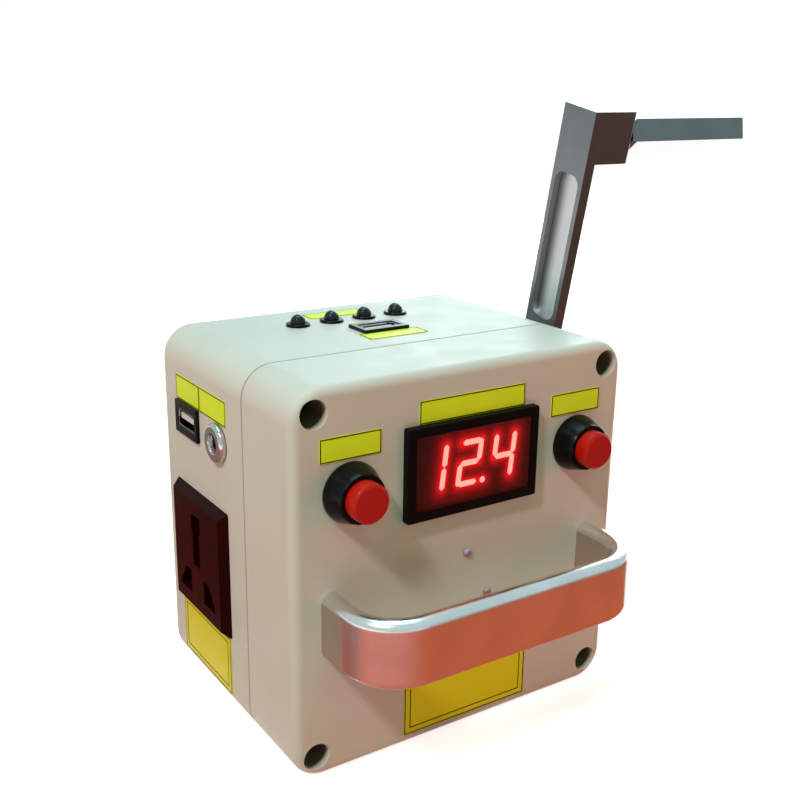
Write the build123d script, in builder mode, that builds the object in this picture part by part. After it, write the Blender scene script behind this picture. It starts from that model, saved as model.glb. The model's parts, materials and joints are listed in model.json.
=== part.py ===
"""Hand crank generator: a two-part plastic box with a voltmeter, buttons, sockets, LEDs, a carry
handle and, on its right side, a crank that drives a generator through a two-stage gear train.

Millimetres. The origin is the centre of the box's underside, +X to the right seen from the front,
+Y to the back and +Z up. The front panel faces -Y and the crank's shaft points along +X.
"""

from build123d import *
from math import acos, atan2, cos, degrees, pi, radians, sin, tan
import os

os.makedirs("parts", exist_ok=True)

# ---------------------------------------------------------------- driving dimensions

# Clearances
fixed_gap = 0.05  # between fixed pieces that fit in one another
running_gap = 0.06  # radial, between a shaft and its bore
free_gap = 0.3  # between pieces that move past each other
cut_margin = 1.0  # how far a cut runs past the surface that it opens

# Bevels on turned pieces
fine_bevel = 0.3
end_bevel = 0.6
head_bevel = 0.8

# Enclosure
box_width = 120.0
box_height = 120.0
cover_depth = 30.0
housing_depth = 60.0
wall = 3.0
corner_radius = 10.0
front_edge_radius = 3.0
back_edge_radius = 2.0
seam_bevel = 0.4

# Screw posts, cover screws and seam seal
post_inset = 7.2
post_radius = 6.0
well_radius = 4.3
well_depth = 24.0
cover_screw_radius = 1.9
cover_screw_reach = 12.0
cover_head_radius = 3.8
cover_head_height = 2.6
cover_screw_point = 2.0
cross_slot_length = 4.4
cross_slot_width = 0.9
cross_slot_depth = 1.3
tongue_depth = 3.0
tongue_inset = 1.6
tongue_gap = 0.15
gasket_thickness = 1.0

# Carry handle
handle_z = 49.3
handle_inset = 12.0  # from the box's side to a screw
handle_reach = 28.5
bar_height = 21.0
bar_thickness = 6.0
bend_radius = 14.7
handle_screw_radius = 2.0
handle_screw_reach = 10.0
handle_head_radius = 3.8
handle_head_height = 2.8

# Panel voltmeter
meter_x = 0.1
meter_drop = 30.3  # from the box's top to the meter's middle
meter_width = 48.0
meter_height = 29.0
meter_proud = 2.5
meter_edge_radius = 0.8
case_width = 45.2
case_height = 26.2
case_wall = 1.6
case_depth = 17.0
clip_rise = 0.9
clip_length = 6.0
clip_width = 8.0
window_thickness = 1.2
window_recess = 0.4
display_width = 37.6
display_height = 19.0
display_depth = 8.0
display_shift = -1.2  # of the digits, from the meter's middle
display_rise = 0.4
display_gap = 0.2
digit_pitch = 12.7
digit_width = 6.9
digit_height = 12.8
digit_slant = 6.5
segment_width = 1.5
segment_rise = 0.2
dot_gap = 0.5
board_thickness = 1.6
lead_plug_width = 10.5
lead_plug_height = 5.8
lead_plug_depth = 3.2

# Push buttons
button_inset = 18.6
button_drop = 31.4
flange_radius = 9.05
flange_tip_radius = 7.2
flange_base = 1.2
flange_height = 7.0
barrel_radius = 8.0
barrel_length = 22.0
cap_radius = 5.85
cap_rise = 11.6
cap_bevel = 0.8
cap_skirt = 3.0
button_travel = 2.5
stem_radius = 2.0
stem_length = 9.0
spring_length = 5.5
spring_radius = 4.1
spring_wire_radius = 0.35
spring_turns = 3.5
nut_across_flats = 20.0
nut_thickness = 3.0
terminal_width = 2.8
terminal_thickness = 0.5
terminal_length = 6.0
terminal_spacing = 7.0

# Converter module behind the panel, held by two screws through the panel
module_screw_x = (0.0, 8.2)
module_screw_z = (60.2, 44.8)
module_screw_radius = 1.0
module_head_radius = 1.5
module_head_height = 0.9
module_standoff = 3.0
module_standoff_radius = 2.4
module_margin = 4.2
module_nut_across_flats = 4.0
module_nut_thickness = 1.6
module_screw_end = 0.4
coil_radius = 3.2
small_coil_radius = 2.6
coil_height = 4.0

# USB sockets, one on the left side and one on top
side_usb_y = 24.5
side_usb_drop = 26.8
top_usb_x = 0.2
top_usb_y = 6.9
usb_frame_width = 17.0
usb_frame_height = 10.8
usb_proud = 1.2
usb_sleeve_width = 15.0
usb_sleeve_height = 7.6
usb_sleeve_depth = 6.0
usb_shell_width = 13.1
usb_shell_height = 5.7
usb_shell_wall = 0.35
usb_shell_depth = 14.0
usb_tongue_width = 11.1
usb_tongue_thickness = 1.8
usb_tongue_offset = 0.5
usb_tongue_recess = 0.6

# DC jack on the left side
jack_y = 2.0
jack_drop = 27.7
jack_flange_radius = 6.2
jack_flange_thickness = 2.2
jack_barrel_radius = 4.9
jack_barrel_length = 13.0
jack_bore_radius = 3.1
jack_bore_depth = 10.0
jack_pin_radius = 1.05
jack_pin_recess = 1.5
jack_core_thickness = 2.0
jack_nut_across_flats = 14.0
jack_nut_thickness = 2.4

# Mains socket on the left side
socket_y = 16.3
socket_z = 49.3
socket_width = 39.5
socket_height = 42.6
socket_proud = 2.8
socket_bevel = 2.3
socket_edge_radius = 0.8
socket_body_width = 34.0
socket_body_height = 37.0
socket_body_depth = 20.0
slot_depth = 15.0
earth_slot_width = 5.2
earth_slot_low = -3.3
earth_slot_step = 8.7
earth_slot_high = 14.4
earth_slot_top_width = 6.8
side_slot_inner = 4.9
side_slot_outer = 13.6
side_slot_shoulder = 9.0
side_slot_low = -14.5
side_slot_high = -6.5
side_slot_lip = 1.9
contact_thickness = 1.4
contact_height = 4.5
contact_depth = 5.0

# Row of LEDs on top
led_x = -2.25
led_y = 22.7
led_pitch = 12.7
led_count = 4
led_radius = 2.5
led_rise = 3.8
led_skirt = 4.0
led_leg_radius = 0.3
led_leg_spacing = 2.54
led_leg_length = 9.0
holder_flange_radius = 4.0
holder_flange_thickness = 1.0
holder_sleeve_radius = 3.4
holder_sleeve_depth = 5.0

# Stickers: each is its middle's place and its size, across and up
sticker_thickness = 0.2
sticker_corner_radius = 0.5
sticker_gap = 0.1
power_label_shift = -0.8
switch_label_drop = 18.0
switch_label_width = 19.8
switch_label_height = 7.1
meter_label_shift = 0.5
meter_label_width = 38.5
meter_label_height = 7.0
name_label_x = 1.4
name_label_z = 16.9
name_label_width = 47.2
name_label_height = 26.6
jack_label_width = 19.4
jack_label_height = 8.0
jack_label_drop = 21.3
usb_label_width = 18.2
warning_label_width = 37.2
warning_label_height = 20.2
led_label_x = -2.0
led_label_y = 32.2
led_label_width = 22.0
led_label_height = 7.5

# Crank
hub_y = 6.5
hub_drop = 22.0
crank_lean = 11.12
shaft_radius = 4.0
shaft_tail = 1.0
arm_standoff = 6.0
arm_thickness = 4.0
arm_width = 15.4
arm_reach = 94.2
arm_hub_radius = 9.0
arm_boss_gap = 0.7
pocket_width = 11.6
pocket_start = 19.6
pocket_end = 72.0
pocket_depth = 2.5
arm_screw_radius = 2.5
arm_screw_length = 14.0
arm_screw_head_radius = 6.5
arm_screw_head_height = 2.4
arm_screw_socket_radius = 2.0
arm_screw_socket_depth = 1.9
block_length = 17.4
block_thickness = 14.6
block_edge_radius = 0.8
collar_radius = 5.9
collar_thickness = 1.7
grip_across_flats = 13.0
grip_turn = 8.5
grip_length = 55.4
grip_end_bevel = 0.9
spindle_radius = 3.0
spindle_thread_length = 11.0
spindle_head_radius = 4.2
spindle_head_height = 3.0
spindle_head_recess = 1.0
spindle_slot_width = 1.2
spindle_slot_depth = 1.5

# Bearings
wall_bush_radius = 6.0
wall_bush_flange_radius = 9.0
wall_bush_flange_thickness = 1.4
wall_bush_depth = 6.0
plate_bush_radius = 6.0
plate_bush_flange_radius = 7.5
plate_bush_flange_thickness = 1.0

# Gear train: two equal stages
gear_module = 0.8
wheel_teeth = 40
pinion_teeth = 16
pressure_angle = 20.0
addendum_share = 0.8
dedendum_share = 1.08
backlash = 0.16
gear_face = 4.0
drive_gear_clearance = 1.0
idler_wheel_clearance = 2.5
pinion_clearance = 1.3
pinion_overhang = 1.0
drive_hub_radius = 7.0
drive_hub_length = 2.0
idler_pin_radius = 2.5
idler_collar_radius = 5.0

# Gearbox frame
plate_thickness = 2.0
plate_gap = 14.0
sleeve_length = 14.0
plate_half_width = 24.0
plate_above_hub = 12.0
plate_below_generator = 15.0
plate_corner_radius = 4.0
post_half_spacing = 20.5
gearbox_post_radius = 3.0
rivet_radius = 1.5
post_above_hub = 2.0
post_below_generator = 10.0
sleeve_radius = 3.5
gearbox_screw_radius = 1.5
gearbox_screw_head_radius = 3.0
gearbox_slot_length = 3.2
gearbox_slot_width = 0.8
gearbox_slot_depth = 1.0
sleeve_half_spacing = 11.5
sleeve_below_hub = (12.0, 48.0)

# Generator
can_radius = 18.0
can_wall = 1.5
can_length = 48.0
can_front = 3.0
can_nose_radius = 5.0
end_cap_thickness = 3.0
rotor_shaft_radius = 1.6
rotor_shaft_tail = 2.0
rotor_shaft_nose = 0.5
armature_radius = 11.0
armature_length = 26.0
armature_slots = 5
armature_slot_depth = 2.8
armature_slot_width = 1.6
commutator_radius = 4.5
commutator_length = 5.5
magnet_thickness = 4.9
magnet_length = 30.0
magnet_span = 20.0
generator_screw_radius = 1.4
generator_screw_spacing = 25.0
generator_screw_head_radius = 2.7
generator_screw_head_height = 1.6

# Battery pack
cell_radius = 9.2
cell_length = 65.0
cell_count = 3
cell_gap = 0.2
tray_floor = 1.5
tray_wall = 1.5
tray_height = 11.0
cell_button_radius = 3.0
cell_button_height = 0.8

# Inverter board on the back wall
inverter_x = -6.5
inverter_low = 30.0
inverter_width = 53.0
inverter_height = 68.0
inverter_standoff = 2.5
inverter_post_radius = 3.0
inverter_post_inset = 4.5
board_screw_radius = 1.2
board_screw_head_radius = 2.2
board_screw_head_height = 1.4
board_screw_reach = 3.5
transformer_width = 22.0
transformer_height = 19.0
transformer_depth = 10.0
transformer_core_width = 15.4
transformer_winding_height = 9.5
transformer_z = 84.0
capacitor_radius = 4.0
capacitor_height = 10.0
capacitor_drop = 8.0
heatsink_width = 20.0
heatsink_height = 16.0
heatsink_depth = 8.0
heatsink_drop = 22.0
heatsink_slots = 5

# ---------------------------------------------------------------- places worked out from them

half_width = box_width / 2
half_height = box_height / 2
front_y = -(cover_depth + housing_depth) / 2
back_y = front_y + cover_depth + housing_depth
seam_y = front_y + cover_depth
panel_back_y = front_y + wall
back_inner_y = back_y - wall
left_x = -half_width
left_inner_x = left_x + wall
right_x = half_width
right_inner_x = right_x - wall

post_places = [
    (side * (half_width - post_inset), half_height + level * (half_height - post_inset))
    for side in (-1, 1)
    for level in (-1, 1)
]
rebate_inset = tongue_inset - tongue_gap
rebate_depth = tongue_depth + gasket_thickness
outer_post_radius = post_radius + wall - rebate_inset
shelf_y = front_y + well_depth

handle_spacing = box_width - 2 * handle_inset
handle_places = [(side * handle_spacing / 2, handle_z) for side in (-1, 1)]

meter_z = box_height - meter_drop
case_cavity_width = case_width - 2 * case_wall
case_cavity_height = case_height - 2 * case_wall
meter_front_y = front_y - meter_proud
window_front_y = meter_front_y + window_recess
display_front_y = window_front_y + window_thickness + display_gap + segment_rise
display_x = meter_x + display_shift
display_z = meter_z + display_rise

button_x = half_width - button_inset
button_z = box_height - button_drop
button_places = [(-button_x, button_z), (button_x, button_z)]
cap_bore_radius = cap_radius + running_gap
cap_front_y = front_y - cap_rise
cap_back_y = front_y + cap_skirt
spring_seat_y = cap_back_y + spring_length
stem_back_y = cap_back_y + stem_length
barrel_back_y = front_y + barrel_length

module_board_y = panel_back_y + module_standoff
module_screw_back_y = module_board_y + board_thickness + module_nut_thickness + module_screw_end
module_places = list(zip(module_screw_x, module_screw_z))
module_x = sum(module_screw_x) / 2
module_z = sum(module_screw_z) / 2
module_width = abs(module_screw_x[1] - module_screw_x[0]) + 2 * module_margin
module_height = abs(module_screw_z[1] - module_screw_z[0]) + 2 * module_margin

led_places = [(led_x + (i - (led_count - 1) / 2) * led_pitch, led_y) for i in range(led_count)]

side_usb_z = box_height - side_usb_drop
jack_z = box_height - jack_drop

hub_z = box_height - hub_drop
lean = radians(crank_lean)
arm_direction = (0, -sin(lean), cos(lean))
arm_inner_x = right_x + arm_standoff
arm_outer_x = arm_inner_x + arm_thickness
arm_boss_x = right_x + wall_bush_flange_thickness + arm_boss_gap
block_outer_x = arm_outer_x + block_thickness
block_reach = arm_reach - block_length / 2
grip_y = hub_y - block_reach * sin(lean)
grip_z = hub_z + block_reach * cos(lean)
grip_start_x = block_outer_x + collar_thickness + free_gap
grip_end_x = grip_start_x + grip_length
spindle_end_x = grip_end_x - spindle_head_recess
spindle_seat_x = spindle_end_x - spindle_head_height

wheel_pitch_radius = gear_module * wheel_teeth / 2
pinion_pitch_radius = gear_module * pinion_teeth / 2
centre_distance = wheel_pitch_radius + pinion_pitch_radius
idler_z = hub_z - centre_distance
generator_z = idler_z - centre_distance
outer_plate_x = right_inner_x - sleeve_length
outer_plate_inner_x = outer_plate_x - plate_thickness
inner_plate_x = outer_plate_inner_x - plate_gap
inner_plate_back_x = inner_plate_x - plate_thickness
drive_gear_x = outer_plate_inner_x - drive_gear_clearance - gear_face
idler_start_x = inner_plate_x + free_gap
idler_end_x = outer_plate_inner_x - free_gap
idler_wheel_x = inner_plate_x + idler_wheel_clearance
pinion_start_x = inner_plate_x + pinion_clearance
pinion_end_x = idler_wheel_x + gear_face + pinion_overhang
plate_top_z = hub_z + plate_above_hub
plate_bottom_z = generator_z - plate_below_generator
gearbox_post_places = [
    (hub_y + side * post_half_spacing, z)
    for side in (-1, 1)
    for z in (generator_z - post_below_generator, hub_z + post_above_hub)
]
sleeve_places = [
    (hub_y + side * sleeve_half_spacing, hub_z - drop) for side in (-1, 1) for drop in sleeve_below_hub
]

can_front_x = inner_plate_back_x
can_back_x = can_front_x - can_length
generator_screw_places = [(hub_y + side * generator_screw_spacing / 2, generator_z) for side in (-1, 1)]
can_middle_x = (can_front_x - can_front + can_back_x + end_cap_thickness) / 2

cell_pitch = 2 * cell_radius + cell_gap
tray_width = cell_count * cell_pitch + 2 * cell_gap
tray_y = back_inner_y - fixed_gap - tray_width / 2
cell_z = wall + tray_floor + cell_radius + fixed_gap
cell_places = [(tray_y + (i - (cell_count - 1) / 2) * cell_pitch, cell_z) for i in range(cell_count)]

board_back_y = back_inner_y - inverter_standoff
board_front_y = board_back_y - board_thickness
inverter_z = inverter_low + inverter_height / 2
board_screw_places = [
    (inverter_x + side * (inverter_width / 2 - inverter_post_inset), z)
    for side in (-1, 1)
    for z in (inverter_low + inverter_post_inset, inverter_low + inverter_height - inverter_post_inset)
]

# ---------------------------------------------------------------- drawing helpers


def facing_front(y):
    """Sketch plane at y, drawn in X and Z; extrudes towards the front."""
    return Plane.XZ.offset(-y)


def facing_right(x):
    """Sketch plane at x, drawn in Y and Z; extrudes towards the right."""
    return Plane.YZ.offset(x)


def facing_up(z):
    """Sketch plane at z, drawn in X and Y; extrudes upwards."""
    return Plane.XY.offset(z)


def crank_plane(x):
    """Sketch plane at x, centred on the shaft, whose first direction runs along the arm."""
    return Plane(origin=(x, hub_y, hub_z), x_dir=arm_direction, z_dir=(1, 0, 0))


def turned(outline, centre, along, mode=Mode.ADD):
    """Turned solid about an axis through centre; outline holds (radius, station on that axis)."""
    across, normal = {
        Axis.X: ((0, 1, 0), (0, 0, -1)),
        Axis.Y: ((1, 0, 0), (0, 0, 1)),
        Axis.Z: ((1, 0, 0), (0, -1, 0)),
    }[along]
    with BuildSketch(Plane(origin=centre, x_dir=across, z_dir=normal)) as profile:
        with BuildLine():
            Polyline(*outline, close=True)
        make_face()
    revolve(profile.sketch, axis=Axis(centre, along.direction), mode=mode)


def box_outline(inset=0, mode=Mode.ADD):
    """Rounded outline of the box, drawn in by inset."""
    with Locations((0, half_height)):
        RectangleRounded(box_width - 2 * inset, box_height - 2 * inset, corner_radius - inset, mode=mode)


def rim_outline(inset):
    """Box outline drawn in by inset and led round the inner side of the four screw posts."""
    box_outline(inset)
    with Locations(*post_places):
        Circle(post_radius + inset - rebate_inset, mode=Mode.SUBTRACT)


def discs(places, radius):
    with Locations(*places):
        Circle(radius)


def involute(angle):
    return tan(angle) - angle


def gear_outline(teeth, first_tooth):
    """Outline of a stub-tooth spur gear; first_tooth is one tooth's angle, in degrees."""
    pitch_radius = gear_module * teeth / 2
    base_radius = pitch_radius * cos(radians(pressure_angle))
    root_radius = pitch_radius - dedendum_share * gear_module
    tip_radius = pitch_radius + addendum_share * gear_module
    half_tooth = pi / (2 * teeth) - backlash / (4 * pitch_radius) + involute(radians(pressure_angle))
    start_radius = max(base_radius, root_radius)
    flank = [(root_radius, half_tooth)] if root_radius < base_radius else []
    for step in range(4):
        radius = start_radius + (tip_radius - start_radius) * step / 3
        flank.append((radius, half_tooth - involute(acos(min(1, base_radius / radius)))))
    points = []
    for tooth in range(teeth):
        middle = radians(first_tooth) + 2 * pi * tooth / teeth
        points += [(r * cos(middle - half), r * sin(middle - half)) for r, half in flank]
        points += [(r * cos(middle + half), r * sin(middle + half)) for r, half in reversed(flank)]
    with BuildLine() as outline:
        Polyline(*points, close=True)
    make_face(outline.edges())


def gear_plane(x, z):
    """Sketch plane of a gear at x whose shaft is at z; the first direction points up."""
    return Plane(origin=(x, hub_y, z), x_dir=(0, 0, 1), z_dir=(1, 0, 0))


# ---------------------------------------------------------------- enclosure

usb_planes = [
    Plane(origin=(left_x, side_usb_y, side_usb_z), x_dir=(0, -1, 0), z_dir=(-1, 0, 0)),
    Plane(origin=(top_usb_x, top_usb_y, box_height), x_dir=(1, 0, 0), z_dir=(0, 0, 1)),
]

with BuildPart() as front_cover:
    with BuildSketch(facing_front(seam_y)):
        box_outline()
    extrude(amount=cover_depth)
    fillet(front_cover.faces().sort_by(Axis.Y)[0].outer_wire().edges(), radius=front_edge_radius)
    chamfer(front_cover.faces().sort_by(Axis.Y)[-1].outer_wire().edges(), length=seam_bevel)
    with BuildSketch(facing_front(seam_y)):
        box_outline(wall)
    extrude(amount=cover_depth - wall, mode=Mode.SUBTRACT)
    with BuildSketch(facing_front(seam_y)):
        discs(post_places, outer_post_radius)
        box_outline(tongue_inset, mode=Mode.INTERSECT)
    extrude(amount=cover_depth - wall / 2)
    with BuildSketch(facing_front(seam_y)):
        rim_outline(tongue_inset)
    extrude(amount=-tongue_depth)
    with BuildSketch(facing_front(seam_y)):
        rim_outline(wall)
    extrude(amount=-tongue_depth, mode=Mode.SUBTRACT)
    with BuildSketch(facing_front(panel_back_y)):
        discs(module_places, module_standoff_radius)
    extrude(amount=-module_standoff)
    with BuildSketch(facing_front(front_y)):
        discs(post_places, well_radius)
    extrude(amount=-well_depth, mode=Mode.SUBTRACT)
    with BuildSketch(facing_front(shelf_y)):
        discs(post_places, cover_screw_radius + fixed_gap)
    extrude(amount=-cover_depth, mode=Mode.SUBTRACT)
    with BuildSketch(facing_front(front_y)):
        with Locations((meter_x, meter_z)):
            Rectangle(case_width + 2 * fixed_gap, case_height + 2 * fixed_gap)
        discs(button_places, barrel_radius + fixed_gap)
        discs(handle_places, handle_screw_radius + fixed_gap)
        discs(module_places, module_screw_radius + fixed_gap)
    extrude(amount=-(wall + module_standoff + cut_margin), mode=Mode.SUBTRACT)
front_cover.part.label = "front_cover"
export_step(front_cover.part, "parts/front_cover.step")

with BuildPart() as rear_housing:
    with BuildSketch(facing_front(back_y)):
        box_outline()
    extrude(amount=housing_depth)
    fillet(rear_housing.faces().sort_by(Axis.Y)[-1].outer_wire().edges(), radius=back_edge_radius)
    chamfer(rear_housing.faces().sort_by(Axis.Y)[0].outer_wire().edges(), length=seam_bevel)
    with BuildSketch(facing_front(back_inner_y)):
        box_outline(wall)
    extrude(amount=housing_depth, mode=Mode.SUBTRACT)
    with BuildSketch(facing_front(back_y - wall / 2)):
        discs(post_places, outer_post_radius)
        box_outline(tongue_inset, mode=Mode.INTERSECT)
    extrude(amount=housing_depth - wall / 2)
    with BuildSketch(facing_front(seam_y)):
        rim_outline(rebate_inset)
    extrude(amount=-rebate_depth, mode=Mode.SUBTRACT)
    with BuildSketch(facing_front(back_inner_y)):
        discs(board_screw_places, inverter_post_radius)
    extrude(amount=inverter_standoff)
    with BuildSketch(facing_front(board_back_y)):
        discs(board_screw_places, board_screw_radius + fixed_gap)
    extrude(amount=-board_screw_reach - fixed_gap, mode=Mode.SUBTRACT)
    with BuildSketch(facing_front(seam_y)):
        discs(post_places, cover_screw_radius + fixed_gap)
    extrude(amount=-cover_screw_reach - fixed_gap, mode=Mode.SUBTRACT)
    # Left side and top
    for plane in usb_planes:
        with BuildSketch(plane):
            Rectangle(usb_sleeve_width + 2 * fixed_gap, usb_sleeve_height + 2 * fixed_gap)
        extrude(amount=-wall - cut_margin, mode=Mode.SUBTRACT)
    with BuildSketch(facing_right(left_x)):
        with Locations((jack_y, jack_z)):
            Circle(jack_barrel_radius + fixed_gap)
        with Locations((socket_y, socket_z)):
            Rectangle(socket_body_width + 2 * fixed_gap, socket_body_height + 2 * fixed_gap)
    extrude(amount=wall + cut_margin, mode=Mode.SUBTRACT)
    with BuildSketch(facing_up(box_height)):
        discs(led_places, holder_sleeve_radius + fixed_gap)
    extrude(amount=-wall - cut_margin, mode=Mode.SUBTRACT)
    # Right side
    with BuildSketch(facing_right(right_x)):
        with Locations((hub_y, hub_z)):
            Circle(wall_bush_radius + fixed_gap)
        discs(sleeve_places, gearbox_screw_radius + fixed_gap)
    extrude(amount=-wall - cut_margin, mode=Mode.SUBTRACT)
    for y, z in sleeve_places:
        turned(
            [
                (0, right_x),
                (gearbox_screw_head_radius + fixed_gap, right_x),
                (gearbox_screw_radius, right_x - gearbox_screw_head_radius + gearbox_screw_radius),
                (0, right_x - gearbox_screw_head_radius + gearbox_screw_radius),
            ],
            (0, y, z),
            Axis.X,
            mode=Mode.SUBTRACT,
        )
rear_housing.part.label = "rear_housing"
export_step(rear_housing.part, "parts/rear_housing.step")

with BuildPart() as seam_gasket:
    with BuildSketch(facing_front(seam_y + rebate_depth)):
        rim_outline(tongue_inset)
    extrude(amount=gasket_thickness)
    with BuildSketch(facing_front(seam_y + rebate_depth)):
        rim_outline(wall)
    extrude(amount=gasket_thickness, mode=Mode.SUBTRACT)
seam_gasket.part.label = "seam_gasket"
export_step(seam_gasket.part, "parts/seam_gasket.step")

with BuildPart() as cover_screws:
    for x, z in post_places:
        turned(
            [
                (0, shelf_y - cover_head_height),
                (cover_head_radius - head_bevel, shelf_y - cover_head_height),
                (cover_head_radius, shelf_y - cover_head_height + head_bevel),
                (cover_head_radius, shelf_y),
                (cover_screw_radius, shelf_y),
                (cover_screw_radius, seam_y + cover_screw_reach - cover_screw_point),
                (0, seam_y + cover_screw_reach),
            ],
            (x, 0, z),
            Axis.Y,
        )
    with BuildSketch(facing_front(shelf_y - cover_head_height)):
        with Locations(*post_places):
            Rectangle(cross_slot_length, cross_slot_width)
            Rectangle(cross_slot_width, cross_slot_length)
    extrude(amount=-cross_slot_depth, mode=Mode.SUBTRACT)
cover_screws.part.label = "cover_screws"
export_step(cover_screws.part, "parts/cover_screws.step")

# ---------------------------------------------------------------- carry handle

with BuildPart() as carry_handle:
    bar_y = front_y - handle_reach + bar_thickness / 2
    foot_x = handle_spacing / 2
    with BuildLine(facing_up(handle_z)) as bar_line:
        FilletPolyline(
            (-foot_x, front_y),
            (-foot_x, bar_y),
            (foot_x, bar_y),
            (foot_x, front_y),
            radius=bend_radius,
        )
    with BuildSketch(facing_front(front_y)):
        with Locations((-foot_x, handle_z)):
            SlotOverall(bar_height, bar_thickness, rotation=90)
    sweep(path=bar_line.wire())
    with BuildSketch(facing_front(front_y)):
        discs(handle_places, handle_screw_radius + fixed_gap)
    extrude(amount=handle_screw_reach + fixed_gap, mode=Mode.SUBTRACT)
carry_handle.part.label = "carry_handle"
export_step(carry_handle.part, "parts/carry_handle.step")

with BuildPart() as handle_screws:
    for x, z in handle_places:
        turned(
            [
                (0, front_y - handle_screw_reach),
                (handle_screw_radius, front_y - handle_screw_reach + end_bevel),
                (handle_screw_radius, panel_back_y),
                (handle_head_radius, panel_back_y),
                (handle_head_radius, panel_back_y + handle_head_height - head_bevel),
                (handle_head_radius - head_bevel, panel_back_y + handle_head_height),
                (0, panel_back_y + handle_head_height),
            ],
            (x, 0, z),
            Axis.Y,
        )
handle_screws.part.label = "handle_screws"
export_step(handle_screws.part, "parts/handle_screws.step")

# ---------------------------------------------------------------- panel voltmeter

with BuildPart() as meter_bezel:
    with BuildSketch(facing_front(front_y)):
        with Locations((meter_x, meter_z)):
            Rectangle(meter_width, meter_height)
    extrude(amount=meter_proud)
    fillet(meter_bezel.edges().filter_by(Axis.Y), radius=meter_edge_radius)
    fillet(meter_bezel.faces().sort_by(Axis.Y)[0].edges(), radius=meter_edge_radius / 2)
    with BuildSketch(facing_front(front_y)):
        with Locations((meter_x, meter_z)):
            Rectangle(case_width, case_height)
    extrude(amount=-case_depth)
    for side in (-1, 1):
        clip_x = meter_x + side * case_width / 2
        with BuildSketch(facing_up(meter_z - clip_width / 2)):
            with BuildLine():
                Polyline(
                    (clip_x, panel_back_y + fixed_gap),
                    (clip_x + side * clip_rise, panel_back_y + fixed_gap),
                    (clip_x, panel_back_y + fixed_gap + clip_length),
                    close=True,
                )
            make_face()
        extrude(amount=clip_width)
    with BuildSketch(facing_front(meter_front_y)):
        with Locations((meter_x, meter_z)):
            Rectangle(case_cavity_width, case_cavity_height)
    extrude(amount=-(meter_proud + case_depth), mode=Mode.SUBTRACT)
meter_bezel.part.label = "meter_bezel"
export_step(meter_bezel.part, "parts/meter_bezel.step")

with BuildPart() as meter_window:
    with BuildSketch(facing_front(window_front_y)):
        with Locations((meter_x, meter_z)):
            Rectangle(case_cavity_width - 2 * fixed_gap, case_cavity_height - 2 * fixed_gap)
    extrude(amount=-window_thickness)
meter_window.part.label = "meter_window"
export_step(meter_window.part, "parts/meter_window.step")


def slanted(x, z):
    """Point of a digit, leaned over by the digits' slant."""
    return (x + z * tan(radians(digit_slant)), z)


def bar_segment(x, z, half_length, upright):
    """One mitred bar of a seven-bar digit, whose middle is at x, z."""
    half_bar = segment_width / 2
    corners = [
        (-half_length, 0),
        (half_bar - half_length, half_bar),
        (half_length - half_bar, half_bar),
        (half_length, 0),
        (half_length - half_bar, -half_bar),
        (half_bar - half_length, -half_bar),
    ]
    if upright:
        corners = [(b, a) for a, b in corners]
    Polygon(*[slanted(x + a, z + b) for a, b in corners], align=None)


with BuildPart() as meter_display:
    with BuildSketch(facing_front(display_front_y)):
        with Locations((display_x, display_z)):
            Rectangle(display_width, display_height)
    extrude(amount=-display_depth)
    with BuildSketch(facing_front(display_front_y)):
        for column in (-1, 0, 1):
            with Locations((display_x + column * digit_pitch, display_z)):
                for level in (-1, 0, 1):
                    bar_segment(0, level * digit_height / 2, (digit_width - segment_rise) / 2, False)
                for side in (-1, 1):
                    for level in (-1, 1):
                        bar_segment(
                            side * digit_width / 2,
                            level * digit_height / 4,
                            (digit_height / 2 - segment_rise) / 2,
                            True,
                        )
            dot_x, dot_z = slanted(digit_width / 2 + segment_width + dot_gap, -digit_height / 2)
            with Locations((display_x + column * digit_pitch + dot_x, display_z + dot_z)):
                Circle(segment_width / 2)
    extrude(amount=segment_rise)
    with BuildSketch(facing_front(display_front_y + display_depth)):
        with Locations((meter_x, meter_z)):
            Rectangle(case_cavity_width - 2 * fixed_gap, case_cavity_height - 2 * fixed_gap)
    extrude(amount=-board_thickness)
    with BuildSketch(facing_front(display_front_y + display_depth + board_thickness)):
        with Locations((meter_x, meter_z)):
            Rectangle(lead_plug_width, lead_plug_height)
    extrude(amount=-lead_plug_depth)
meter_display.part.label = "meter_display"
export_step(meter_display.part, "parts/meter_display.step")

# ---------------------------------------------------------------- push buttons

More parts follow.
